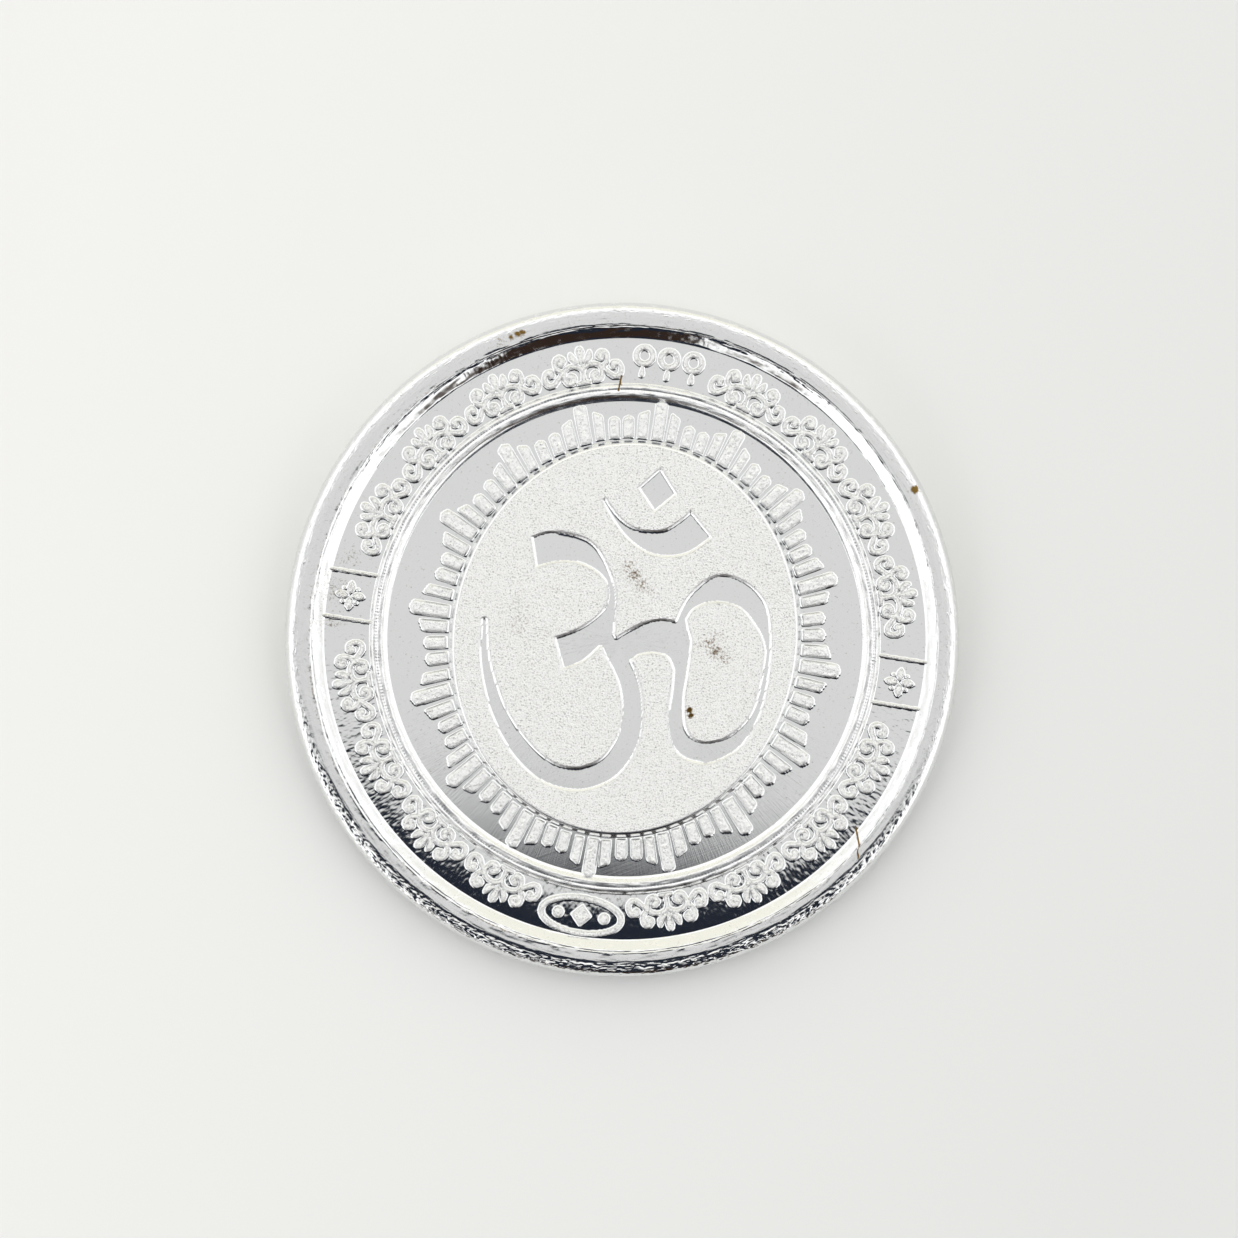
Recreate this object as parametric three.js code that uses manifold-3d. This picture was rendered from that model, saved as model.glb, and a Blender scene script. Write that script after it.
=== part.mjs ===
// A struck silver devotional coin: one disc of fine silver, pressed between two dies.
//
// The obverse (+Z) has a bevelled rim, a polished border band with scroll sprays, a double bead
// ring, a sunburst of bars and a raised oval medallion with the Om sign sunk into it. The reverse
// (-Z) has the same rim and bead ring round a lotus rosette.
//
// Frame: millimetres. The coin lies on its reverse rim, with the origin at the centre of that
// rim's plane. +Z points out of the obverse and +Y to the top of the design.
import * as THREE from "three";
import { mergeVertices } from "three/addons/utils/BufferGeometryUtils.js";
import Module from "manifold-3d";

const wasm = await Module();
wasm.setup();

// ---------------------------------------------------------------- driving dimensions, mm
// The blank and its rim.
const coinDiameter = 30;
const coinThickness = 1.82;
const rimWidth = 1.65; // from the edge to the foot of the bevel
const rimBevelWidth = 0.5; // the slope between the field and the rim's flat land
const edgeRound = 0.4; // radius between the land and the edge
const fieldDepth = 0.35; // how far each polished field lies below the land

// The border band, the bead ring and the sunburst, from the rim inwards.
const borderWidth = 1.98;
const borderPitch = 3.85; // least room round the band for one spray
const ringWidth = 0.82;
const ringHeight = 0.16;
const longRay = 1.74;
const middleRay = 1.25;
const shortRay = 0.92;
const rayPitch = 0.65; // least room round the medallion for one bar
const rayGap = 0.15; // between two bars, at their feet
const rayHeight = 0.14;
const footGap = 0.12; // between the bars and the medallion
const rayOnRing = 0.17; // how far the top bar runs onto the ring's slope

// The medallion and the Om sign sunk into it.
const medallionRatio = 0.88; // width over height
const medallionHeight = 0.2;
const medallionDraft = 0.05; // the slope of its wall
const omDepth = 0.12;

// Relief in the border.
const scrollHeight = 0.13;
const lineHeight = 0.09;
const lineWidth = 0.14;
const cartoucheBand = 0.24;

// The reverse.
const lotusPetals = 8;
const lotusHeight = 0.15;
const lotusReach = 0.8; // the petals' tips, as a share of the ring's inner radius
const borderBeadRadius = 0.34;

// How finely round shapes are faceted.
const turnSteps = 56;
const medallionSteps = 48;

// ---------------------------------------------------------------- sizes that follow
const rootDepth = 0.08; // relief starts this far inside the metal, so that it joins
const coinRadius = coinDiameter / 2;
const obverseField = coinThickness - fieldDepth;
const reverseField = fieldDepth;
const fieldRadius = coinRadius - rimWidth;
const ringOuter = fieldRadius - borderWidth;
const ringInner = ringOuter - ringWidth;
const medallionLong = ringInner + rayOnRing - longRay - footGap;
const medallionShort = medallionLong * medallionRatio;
const borderMiddle = (fieldRadius + ringOuter) / 2;
// The border's places come in fours, because the top, bottom and two sides each hold an emblem.
const borderPlaces = 4 * Math.floor((2 * Math.PI * borderMiddle) / (4 * borderPitch));
const barsPerGroup = 5;
const footLong = medallionLong + footGap;
const footShort = medallionShort + footGap;
const footPerimeter = 2 * Math.PI * Math.hypot(footLong, footShort) * Math.SQRT1_2;
const rayGroups = 4 * Math.floor(footPerimeter / (4 * barsPerGroup * rayPitch));

// ---------------------------------------------------------------- solids from three.js shapes
// A closed three.js geometry as a solid: shared vertices merged and collapsed faces dropped.
function solidOf(geometry) {
  const plain = geometry.clone();
  plain.deleteAttribute("normal");
  plain.deleteAttribute("uv");
  const merged = mergeVertices(plain, 1e-5);
  const corners = merged.index.array;
  const kept = [];
  for (let i = 0; i < corners.length; i += 3) {
    const [a, b, c] = [corners[i], corners[i + 1], corners[i + 2]];
    if (a !== b && b !== c && a !== c) kept.push(a, b, c);
  }
  return new wasm.Manifold(
    new wasm.Mesh({
      numProp: 3,
      vertProperties: new Float32Array(merged.attributes.position.array),
      triVerts: new Uint32Array(kept),
    }),
  );
}

// The solid back as a three.js geometry.
function geometryOf(solid) {
  const mesh = solid.getMesh();
  const geometry = new THREE.BufferGeometry();
  geometry.setAttribute("position", new THREE.BufferAttribute(mesh.vertProperties, 3));
  geometry.setIndex(new THREE.BufferAttribute(mesh.triVerts, 1));
  geometry.computeVertexNormals();
  return geometry;
}

// A flat outline pushed up from one height to another.
function slab(points, low, high) {
  const shape = new THREE.Shape(points);
  const geometry = new THREE.ExtrudeGeometry(shape, { depth: high - low, bevelEnabled: false });
  geometry.translate(0, 0, low);
  return solidOf(geometry);
}

function vector(x, y) {
  return new THREE.Vector2(x, y);
}

// A regular polygon that stands for a circle.
function disc(x, y, radius, sides) {
  const corner = (i) => (2 * Math.PI * (i + 0.5)) / sides;
  return Array.from({ length: sides }, (_, i) =>
    vector(x + radius * Math.cos(corner(i)), y + radius * Math.sin(corner(i))),
  );
}

// The outline of a pen stroke: a smooth line through [x, y, width] points, with square ends.
function stroke(line) {
  const curve = new THREE.CatmullRomCurve3(
    line.map(([x, y, width]) => new THREE.Vector3(x, y, width)),
    false,
    "catmullrom",
    0.5,
  );
  const count = line.length - 1;
  const left = [];
  const right = [];
  for (let i = 0; i <= count; i++) {
    const middle = curve.getPoint(i / count);
    const ahead = curve.getTangent(i / count);
    const reach = middle.z / 2 / Math.hypot(ahead.x, ahead.y);
    left.push(vector(middle.x - ahead.y * reach, middle.y + ahead.x * reach));
    right.unshift(vector(middle.x + ahead.y * reach, middle.y - ahead.x * reach));
  }
  return [...left, ...right];
}

// An outline drawn with +y outwards, turned to its place at an angle clockwise from the top.
function placed(points, angle, radius) {
  const cos = Math.cos(angle);
  const sin = Math.sin(angle);
  return points.map(({ x, y }) =>
    vector(x * cos + (y + radius) * sin, -x * sin + (y + radius) * cos),
  );
}

function mirrored(line) {
  return line.map(([x, ...rest]) => [-x, ...rest]);
}

// ---------------------------------------------------------------- the blank with its rim and rings
// One side of the coin from its centre to the edge, as [radius, height above the field] points.
function faceProfile() {
  const bead = ringWidth / 2;
  const slope = ringHeight * 0.75;
  const bottom = fieldDepth - edgeRound;
  const rounded = [50, 0].map((degrees) => {
    const turn = THREE.MathUtils.degToRad(degrees);
    return [
      coinRadius - edgeRound + edgeRound * Math.cos(turn),
      bottom + edgeRound * Math.sin(turn),
    ];
  });
  return [
    [0, 0],
    [ringInner, 0],
    [ringInner + slope, ringHeight],
    [ringInner + bead - slope, ringHeight],
    [ringInner + bead, ringHeight / 2],
    [ringOuter - bead + slope, ringHeight],
    [ringOuter - slope, ringHeight],
    [ringOuter, 0],
    [fieldRadius, 0],
    [fieldRadius + rimBevelWidth, fieldDepth],
    [coinRadius - edgeRound, fieldDepth],
    ...rounded,
  ];
}

function blank() {
  const face = faceProfile();
  const under = face.map(([radius, height]) => vector(radius, reverseField - height));
  const over = face.map(([radius, height]) => vector(radius, obverseField + height)).reverse();
  const geometry = new THREE.LatheGeometry([...under, ...over], turnSteps);
  geometry.rotateX(Math.PI / 2);
  return solidOf(geometry);
}

// ---------------------------------------------------------------- the sunburst
// Bars stand on an ellipse round the medallion in groups of five: one long, two middle with
// slanted tops that lean on the long ones, and two short.
function rayOutline(kind, half) {
  const shoulder = half * 0.55;
  const wide = half * 1.12;
  const outlines = {
    long: [[-half, 0], [half, 0], [wide, longRay - shoulder], [0, longRay], [-wide, longRay - shoulder]],
    falling: [[-half, 0], [half, 0], [half, middleRay - shoulder], [-half, middleRay]],
    rising: [[-half, 0], [half, 0], [half, middleRay], [-half, middleRay - shoulder]],
    short: [[-half, 0], [half, 0], [half, shortRay - shoulder], [0, shortRay], [-half, shortRay - shoulder]],
  };
  return outlines[kind].map(([x, y]) => vector(x, y));
}

function sunburst() {
  const kinds = ["long", "falling", "short", "short", "rising"];
  const bars = rayGroups * barsPerGroup;
  const step = (2 * Math.PI) / bars;
  return Array.from({ length: bars }, (_, i) => {
    const turn = i * step;
    const x = footShort * Math.sin(turn);
    const y = footLong * Math.cos(turn);
    const room = step * Math.hypot(footShort * Math.cos(turn), footLong * Math.sin(turn));
    const outline = rayOutline(kinds[i % barsPerGroup], (room - rayGap) / 2);
    const sited = placed(outline, Math.atan2(x, y), Math.hypot(x, y));
    return slab(sited, obverseField - rootDepth, obverseField + rayHeight);
  });
}

// ---------------------------------------------------------------- the border's emblems
// A spray is drawn on its foot line, in the band's own scale, with +y outwards.
const spray = {
  // From the foot up beside the middle and over to the upper volute.
  lyre: [[-0.1, 0.04, 0.24], [-0.1, 0.6, 0.18], [-0.48, 0.9, 0.18], [-0.98, 0.9, 0.18]],
  // From the lyre's shoulder down and out to the outer volute.
  tail: [[-0.8, 0.84, 0.17], [-1.14, 0.2, 0.18], [-1.7, 0.36, 0.17]],
  eyes: [[-0.88, 1.22, 0.24], [-1.5, 0.62, 0.25], [-0.54, 0.36, 0.25]],
  petals: [
    [[0, 0.82], [0.15, 1.2], [0, 1.66], [-0.15, 1.2]],
    [[0.06, 0.84], [0.46, 1.1], [0.42, 1.42]],
    [[-0.06, 0.84], [-0.42, 1.42], [-0.46, 1.1]],
  ],
};
const drawnBand = 1.9; // the band width that the spray's points are drawn for
const bandScale = borderWidth / drawnBand;
const bandFoot = ringOuter + 0.12 * bandScale;

function raised(outline, height, angle, radius = bandFoot, scale = bandScale) {
  const sited = placed(outline.map(({ x, y }) => vector(x * scale, y * scale)), angle, radius);
  return slab(sited, obverseField - rootDepth, obverseField + height);
}

function spraySolids(angle) {
  const halves = (line) => [line, mirrored(line)];
  const stems = [spray.lyre, spray.tail].flatMap(halves).map(stroke);
  const eyes = spray.eyes.flatMap(([x, y, r]) => [disc(x, y, r, 5), disc(-x, y, r, 5)]);
  const petals = spray.petals.map((points) => points.map(([x, y]) => vector(x, y)));
  return [...stems, ...petals, ...eyes].map((outline) => raised(outline, scrollHeight, angle));
}

// Three rings with a drop below each, at the top.
function topEmblem(angle) {
  const spread = 1.1;
  return [-1, 0, 1].flatMap((place) => {
    const at = angle + (place * spread * bandScale) / borderMiddle;
    const outer = raised(disc(0, 1.12, 0.46, 8), scrollHeight, at);
    const hole = slab(
      placed(disc(0, 1.12 * bandScale, 0.22 * bandScale, 6), at, bandFoot),
      obverseField,
      obverseField + 1,
    );
    return [outer.subtract(hole), raised(disc(0, 0.36, 0.15, 6), scrollHeight, at)];
  });
}

// An oval band round a lozenge and two dots, at the bottom.
function bottomEmblem(angle) {
  const oval = (grow) =>
    Array.from({ length: 24 }, (_, i) => {
      const turn = (i * Math.PI) / 12;
      return vector((1.9 - grow) * Math.cos(turn), 0.84 + (0.98 - grow) * Math.sin(turn));
    });
  const inside = oval(cartoucheBand).map(({ x, y }) => vector(x * bandScale, y * bandScale));
  const hole = slab(placed(inside, angle, bandFoot), obverseField, obverseField + 1);
  const lozenge = [vector(0, 0.34), vector(0.42, 0.84), vector(0, 1.34), vector(-0.42, 0.84)];
  const dots = [-1.02, 1.02].map((x) => disc(x, 0.84, 0.24, 6));
  return [
    raised(oval(0), scrollHeight, angle).subtract(hole),
    ...[lozenge, ...dots].map((outline) => raised(outline, scrollHeight, angle)),
  ];
}

// Two lines across the band with a four-petalled flower between them, at each side.
function sideEmblem(angle) {
  const half = lineWidth / 2;
  const spread = (0.27 * 2 * Math.PI) / borderPlaces;
  const line = [vector(-half, 0), vector(half, 0), vector(half, borderWidth), vector(-half, borderWidth)];
  const lines = [-spread, spread].map((turn) =>
    slab(placed(line, angle + turn, ringOuter), obverseField - rootDepth, obverseField + lineHeight),
  );
  const petal = (turn) =>
    placed([vector(0, 0.08), vector(0.16, 0.34), vector(0, 0.62), vector(-0.16, 0.34)], turn, 0);
  const flower = [0, 1, 2, 3].map((quarter) =>
    petal((quarter * Math.PI) / 2).map(({ x, y }) => vector(x, y + 0.84)),
  );
  return [...lines, ...flower.map((outline) => raised(outline, scrollHeight, angle))];
}

function border() {
  const quarter = borderPlaces / 4;
  const emblems = { 0: topEmblem, 1: sideEmblem, 2: bottomEmblem, 3: sideEmblem };
  return Array.from({ length: borderPlaces }, (_, i) => {
    const angle = (2 * Math.PI * i) / borderPlaces;
    const make = i % quarter ? spraySolids : emblems[i / quarter];
    return make(angle);
  }).flat();
}

// ---------------------------------------------------------------- the medallion and its Om sign
// Pen strokes as [x, y, width], drawn for a medallion 8.84 mm from its centre to its top.
const drawnMedallion = 8.84;
const om = {
  // The upper bowl, from its square end over the top and back in to the waist.
  upperBowl: [
    [-4.7, 3.18, 1.42], [-3.56, 3.56, 1.42], [-2.47, 3.58, 1.16], [-1.5, 3.02, 0.78],
    [-1.0, 2.2, 0.44], [-0.9, 1.38, 0.48], [-1.1, 0.6, 0.84], [-1.5, 0.0, 1.18],
    [-2.1, -0.58, 1.36], [-2.87, -1.06, 1.48],
  ],
  // The lower bowl, from the waist round the bottom and up the left arm.
  lowerBowl: [
    [-1.0, -0.05, 0.7], [-0.15, -0.99, 0.86], [0.42, -1.9, 0.92], [0.74, -2.93, 1.0],
    [0.82, -3.91, 1.1], [0.6, -4.95, 1.26], [-0.1, -5.95, 1.32], [-1.31, -6.42, 1.12],
    [-2.6, -6.22, 0.9], [-4.0, -5.3, 0.76], [-5.05, -4.06, 0.74], [-5.73, -2.81, 0.66],
    [-6.12, -1.6, 0.56], [-6.31, -0.12, 0.5],
  ],
  // The arm to the right: out from the waist, down the stem and round the loop.
  arm: [
    [-0.6, -0.75, 1.1], [0.1, -0.3, 1.34], [1.1, 0.26, 1.42], [2.05, 0.1, 1.36],
    [2.58, -1.1, 0.78], [2.64, -2.44, 0.78], [2.88, -3.6, 0.96], [3.72, -4.42, 1.0],
    [4.66, -4.22, 0.8], [5.42, -3.56, 0.5], [6.02, -2.46, 0.3], [6.28, -0.6, 0.22],
    [6.02, 1.1, 0.44], [5.52, 2.08, 0.78], [4.9, 2.68, 1.08], [4.06, 2.88, 1.2],
    [3.24, 2.62, 1.12], [2.64, 1.98, 0.84], [2.3, 0.9, 0.42],
  ],
  // The crescent, from its thin left tip to its broad square end.
  crescent: [
    [-2.04, 5.98, 0.18], [-1.5, 5.28, 0.5], [-0.66, 4.7, 0.92], [0.4, 4.38, 1.1],
    [1.42, 4.58, 1.2], [2.48, 5.62, 1.46],
  ],
  // The drop above it, as a lozenge.
  drop: [[0.22, 7.66], [1.06, 6.66], [0.34, 5.94], [-0.5, 6.84]],
};

function omSolid() {
  const scale = medallionLong / drawnMedallion;
  const low = obverseField + medallionHeight - omDepth;
  const strokes = [om.upperBowl, om.lowerBowl, om.arm, om.crescent].map(stroke);
  const drop = om.drop.map(([x, y]) => vector(x, y));
  const cuts = [...strokes, drop].map((outline) =>
    slab(outline.map(({ x, y }) => vector(x * scale, y * scale)), low, obverseField + 1),
  );
  return wasm.Manifold.union(cuts);
}

// An elliptical plate whose wall leans in by its draft.
function medallion() {
  const ring = (grow, height) =>
    Array.from({ length: medallionSteps }, (_, i) => {
      const turn = (2 * Math.PI * i) / medallionSteps;
      return new THREE.Vector3(
        (medallionShort - grow) * Math.cos(turn),
        (medallionLong - grow) * Math.sin(turn),
        height,
      );
    });
  const corners = [
    ...ring(0, obverseField - rootDepth),
    ...ring(0, obverseField),
    ...ring(medallionDraft, obverseField + medallionHeight),
    new THREE.Vector3(0, 0, obverseField - rootDepth),
    new THREE.Vector3(0, 0, obverseField + medallionHeight),
  ];
  const [bottomCentre, topCentre] = [3 * medallionSteps, 3 * medallionSteps + 1];
  const faces = [];
  for (let i = 0; i < medallionSteps; i++) {
    const next = (i + 1) % medallionSteps;
    for (let level = 0; level < 2; level++) {
      const [a, b] = [level * medallionSteps + i, level * medallionSteps + next];
      const [c, d] = [a + medallionSteps, b + medallionSteps];
      faces.push(a, b, d, a, d, c);
    }
    faces.push(bottomCentre, next, i);
    faces.push(topCentre, 2 * medallionSteps + i, 2 * medallionSteps + next);
  }
  const geometry = new THREE.BufferGeometry().setFromPoints(corners);
  geometry.setIndex(faces);
  return solidOf(geometry);
}

// ---------------------------------------------------------------- the reverse
// Two rows of pointed petals round a seed pod, and one bead at each place of the border.
function reverseRelief() {
  const reach = ringInner * lotusReach;
  const down = (points, height) => slab(points, reverseField - height, reverseField + rootDepth);
  // A petal's outline: its share of the length and of the half width, from the foot round to the tip.
  const petalSide = [[0.3, 0.8], [0.55, 1], [0.8, 0.65]];
  const petal = (foot, tip, half) => {
    const side = petalSide.map(([along, out]) => vector(half * out, foot + (tip - foot) * along));
    const other = side.map(({ x, y }) => vector(-x, y)).reverse();
    return [vector(0, foot), ...side, vector(0, tip), ...other];
  };
  const pitch = (2 * Math.PI) / lotusPetals;
  const rows = Array.from({ length: lotusPetals }, (_, i) => [
    down(placed(petal(reach * 0.2, reach * 0.72, reach * 0.2), i * pitch, 0), lotusHeight),
    down(placed(petal(reach * 0.45, reach, reach * 0.19), (i + 0.5) * pitch, 0), lotusHeight * 0.7),
  ]).flat();
  const pod = down(disc(0, 0, reach * 0.22, 16), lotusHeight * 1.2);
  const beads = Array.from({ length: borderPlaces }, (_, i) => {
    const outline = disc(0, 0, borderBeadRadius * bandScale, 6);
    return down(placed(outline, (2 * Math.PI * i) / borderPlaces, borderMiddle), scrollHeight);
  });
  return [...rows, pod, ...beads];
}

// ---------------------------------------------------------------- the coin
const silver = new THREE.MeshStandardMaterial({ color: 0xe9e8e4, roughness: 0.32, metalness: 1 });
silver.name = "fine silver";

const struck = wasm.Manifold.union([
  blank(),
  medallion(),
  ...sunburst(),
  ...border(),
  ...reverseRelief(),
]).subtract(omSolid());

const coin = new THREE.Mesh(geometryOf(struck), silver);
coin.name = "struck_coin";

const part = new THREE.Group();
part.add(coin);
export default part;
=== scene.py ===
"""A struck silver devotional coin on white paper, in soft studio light.

The coin is one piece of metal. It is shown as the zones that a die cutter would name: the rim, the
scroll border, the bead ring, the sunburst, the medallion with its sunk Om sign, and the reverse.
Each zone is a closed body whose top is a height worked out over a grid. Neighbours meet at the foot
of a slope and run a little under it, so no gap shows.

Lengths are in millimetres until a mesh is made, and in metres from there on. Angles run clockwise
from the top of the design, as on a clock.
"""

import logging
import math
from dataclasses import dataclass, field
from enum import Enum
from typing import Any, Callable, Mapping, Sequence

import bpy
import numpy as np
from mathutils import Matrix, Vector


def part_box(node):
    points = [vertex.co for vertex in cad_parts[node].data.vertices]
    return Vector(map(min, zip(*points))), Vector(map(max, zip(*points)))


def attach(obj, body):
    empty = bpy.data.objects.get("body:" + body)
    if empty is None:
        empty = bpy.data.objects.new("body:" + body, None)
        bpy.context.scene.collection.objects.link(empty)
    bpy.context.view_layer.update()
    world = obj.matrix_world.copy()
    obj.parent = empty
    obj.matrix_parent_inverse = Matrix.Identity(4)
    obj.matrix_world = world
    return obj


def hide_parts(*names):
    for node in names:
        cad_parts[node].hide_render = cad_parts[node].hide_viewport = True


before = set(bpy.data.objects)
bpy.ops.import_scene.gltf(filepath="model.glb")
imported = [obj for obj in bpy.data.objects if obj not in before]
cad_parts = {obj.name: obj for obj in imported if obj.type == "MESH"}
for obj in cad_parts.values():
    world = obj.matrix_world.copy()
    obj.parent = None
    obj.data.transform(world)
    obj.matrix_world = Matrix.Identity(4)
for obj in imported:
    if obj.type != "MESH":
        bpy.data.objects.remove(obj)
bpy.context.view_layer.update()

MM = 0.001  # metres in a millimetre
SHARP_DEGREES = 75  # edges that turn more than this look sharp
BODY = "root"
NODE = "struck_coin"
log = logging.getLogger("coin")

Array = np.ndarray
Point = tuple[float, float]
Socket = bpy.types.NodeSocket
Tree = bpy.types.NodeTree


class Side(Enum):
    """The two faces of the coin."""

    OBVERSE = "obverse"
    REVERSE = "reverse"


class Bar(Enum):
    """The kinds of bar in the sunburst."""

    LONG = "long"
    FALLING = "falling"
    SHORT = "short"
    RISING = "rising"


class Emblem(Enum):
    """What can stand at a place in the border."""

    SPRAY = "spray"
    RINGS = "rings"
    FLOWER = "flower"
    CARTOUCHE = "cartouche"
    BEAD = "bead"


# ---------------------------------------------------------------- curves, distances and heights


def smooth_line(points: Sequence[Sequence[float]], steps: int) -> Array:
    """Draws a smooth line through control points.

    A Catmull-Rom curve: between two points it is the cubic whose slope at each is half the step
    from the point before to the point after.

    Args:
        points: The control points, each with any number of values.
        steps: How many pieces each span is cut into.

    Returns:
        The points of the line, one row each.
    """
    knots = np.asarray(points, float)
    padded = np.vstack([2 * knots[0] - knots[1], knots, 2 * knots[-1] - knots[-2]])
    before, start, end, after = (padded[i : len(knots) - 1 + i, None] for i in range(4))
    t = (np.arange(steps) / steps)[None, :, None]
    line = 0.5 * (
        2 * start
        + (end - before) * t
        + (2 * before - 5 * start + 4 * end - after) * t**2
        + (3 * start - before - 3 * end + after) * t**3
    )
    return np.vstack([line.reshape(-1, knots.shape[1]), knots[-1]])


def nearest(x: Array, y: Array, start: Array, end: Array) -> tuple[Array, Array]:
    """Measures from points to one straight segment.

    Args:
        x: The points' first coordinates.
        y: The points' second coordinates.
        start: The segment's start.
        end: The segment's end.

    Returns:
        The distance, and how far along the segment its nearest point lies, from 0 to 1.
    """
    run = end[:2] - start[:2]
    along = ((x - start[0]) * run[0] + (y - start[1]) * run[1]) / max(run @ run, 1e-12)
    along = np.clip(along, 0, 1)
    return np.hypot(x - start[0] - along * run[0], y - start[1] - along * run[1]), along


def stroke(x: Array, y: Array, line: Sequence[Sequence[float]], steps: int = 6) -> Array:
    """Signed distance to a round-ended pen stroke, negative inside.

    The distance to the stroke's line, less half its width there.

    Args:
        x: The points' first coordinates.
        y: The points' second coordinates.
        line: Control points, each x, y and half width.
        steps: How many pieces each span is cut into.

    Returns:
        The signed distances.
    """
    points = smooth_line(line, steps)
    result = np.full(x.shape, np.inf)
    for start, end in zip(points[:-1], points[1:]):
        away, along = nearest(x, y, start, end)
        result = np.minimum(result, away - start[2] - along * (end[2] - start[2]))
    return result


def outline(x: Array, y: Array, loops: Sequence[Array]) -> Array:
    """Signed distance to closed outlines, negative inside.

    The distance to the nearest side of any loop, with its sign from how many sides a line to the
    right crosses: an odd number means inside.

    Args:
        x: The points' first coordinates.
        y: The points' second coordinates.
        loops: The outlines, each an array of corners. A loop inside another is a hole.

    Returns:
        The signed distances.
    """
    result = np.full(x.shape, np.inf)
    inside = np.zeros(x.shape, bool)
    for loop in loops:
        for start, end in zip(loop, np.roll(loop, -1, axis=0)):
            result = np.minimum(result, nearest(x, y, start, end)[0])
            if start[1] != end[1]:
                spans = (start[1] > y) != (end[1] > y)
                slope = (end[0] - start[0]) / (end[1] - start[1])
                inside ^= spans & (x < start[0] + slope * (y - start[1]))
    return np.where(inside, -result, result)


def ellipse(x: Array, y: Array, wide: float, high: float) -> Array:
    """Signed distance to an ellipse round the origin, near enough close to its line."""
    level = np.hypot(x / wide, y / high)
    slope = np.hypot(x / wide**2, y / high**2) / np.maximum(level, 1e-6)
    return (level - 1) / np.maximum(slope, 1e-6)


def soft_step(value: Array, low: float, high: float) -> Array:
    """Rises smoothly from 0 at low to 1 at high: three times the square less twice the cube."""
    t = np.clip((value - low) / (high - low), 0, 1)
    return t * t * (3 - 2 * t)


def crowned(distance: Array, wall: float) -> Array:
    """A height from 0 at an edge to 1 at a wall's width inside it, steep at first, then rounded."""
    t = np.clip(-distance / wall, 0, 1)
    return 1 - (1 - t) ** 2


def unevenness(shape: tuple[int, int], reach: tuple[int, int], seed: int) -> Array:
    """Smooth random unevenness over a grid that closes on itself, about -2 to 2.

    White noise with the waves shorter than the reach taken out, by its Fourier transform, and its
    spread set to 1.

    Args:
        shape: Rows and columns.
        reach: The size of a bump, in rows and in columns.
        seed: Makes it the same each run.

    Returns:
        The values.
    """
    waves = np.fft.fft2(np.random.default_rng(seed).standard_normal(shape))
    row, column = np.fft.fftfreq(shape[0])[:, None], np.fft.fftfreq(shape[1])[None, :]
    waves *= np.exp(-2 * ((row * reach[0]) ** 2 + (column * reach[1]) ** 2))
    bumps = np.real(np.fft.ifft2(waves))
    return bumps / bumps.std()


# ---------------------------------------------------------------- the coin's own measures


@dataclass(frozen=True)
class CoinSizes:
    """Sizes that more than one zone needs, in millimetres.

    Attributes:
        radius: The coin's radius.
        thickness: From rim to rim.
        rim: The rim's width, to the foot of its bevel.
        border: The scroll border's width.
        ring: The bead ring's width.
        field_depth: How far a field lies below the rim.
        crown: How much the border's field stands up between its edges.
        tuck: How far a zone runs under its neighbour.
        drift: How far the design was struck off the coin's centre, right and up.
        medallion_high: The medallion's half height.
        medallion_wide: The medallion's half width.
        medallion_rise: The medallion's height above the field.
    """

    radius: float
    thickness: float
    rim: float = 1.65
    border: float = 1.98
    ring: float = 0.82
    field_depth: float = 0.35
    crown: float = 0.009
    tuck: float = 0.12
    drift: Point = (0.12, 0.05)
    medallion_high: float = 8.87
    medallion_wide: float = 7.8
    medallion_rise: float = 0.19

    @property
    def field_radius(self) -> float:
        """Where the border's field meets the bevel."""
        return self.radius - self.rim

    @property
    def ring_outer(self) -> float:
        """Where the border's field meets the bead ring."""
        return self.field_radius - self.border

    @property
    def ring_inner(self) -> float:
        """Where the bead ring meets the sunburst."""
        return self.ring_outer - self.ring

    @property
    def field(self) -> float:
        """The height of the obverse's field above the reverse rim."""
        return self.thickness - self.field_depth

    @property
    def middle(self) -> float:
        """The height of the plane where the two faces' zones meet inside the metal."""
        return self.thickness / 2


def grid_quads(rows: int, columns: int, wrap_rows: bool, wrap_columns: bool) -> Array:
    """The corners of a grid's faces, facing up where rows run outwards and columns clockwise."""
    row = np.arange(rows if wrap_rows else rows - 1)[:, None]
    column = np.arange(columns if wrap_columns else columns - 1)[None, :]
    next_row, next_column = (row + 1) % rows, (column + 1) % columns
    corners = [
        row * columns + column,
        row * columns + next_column,
        next_row * columns + next_column,
        next_row * columns + column,
    ]
    return np.stack(np.broadcast_arrays(*corners), axis=-1).reshape(-1, 4)


def polar(radius: Array, angle: Array, height: Array) -> Array:
    """Points from a radius, an angle clockwise from the top, and a height."""
    return np.stack(
        np.broadcast_arrays(radius * np.sin(angle), radius * np.cos(angle), height), axis=-1
    )


# ---------------------------------------------------------------- tarnish


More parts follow.
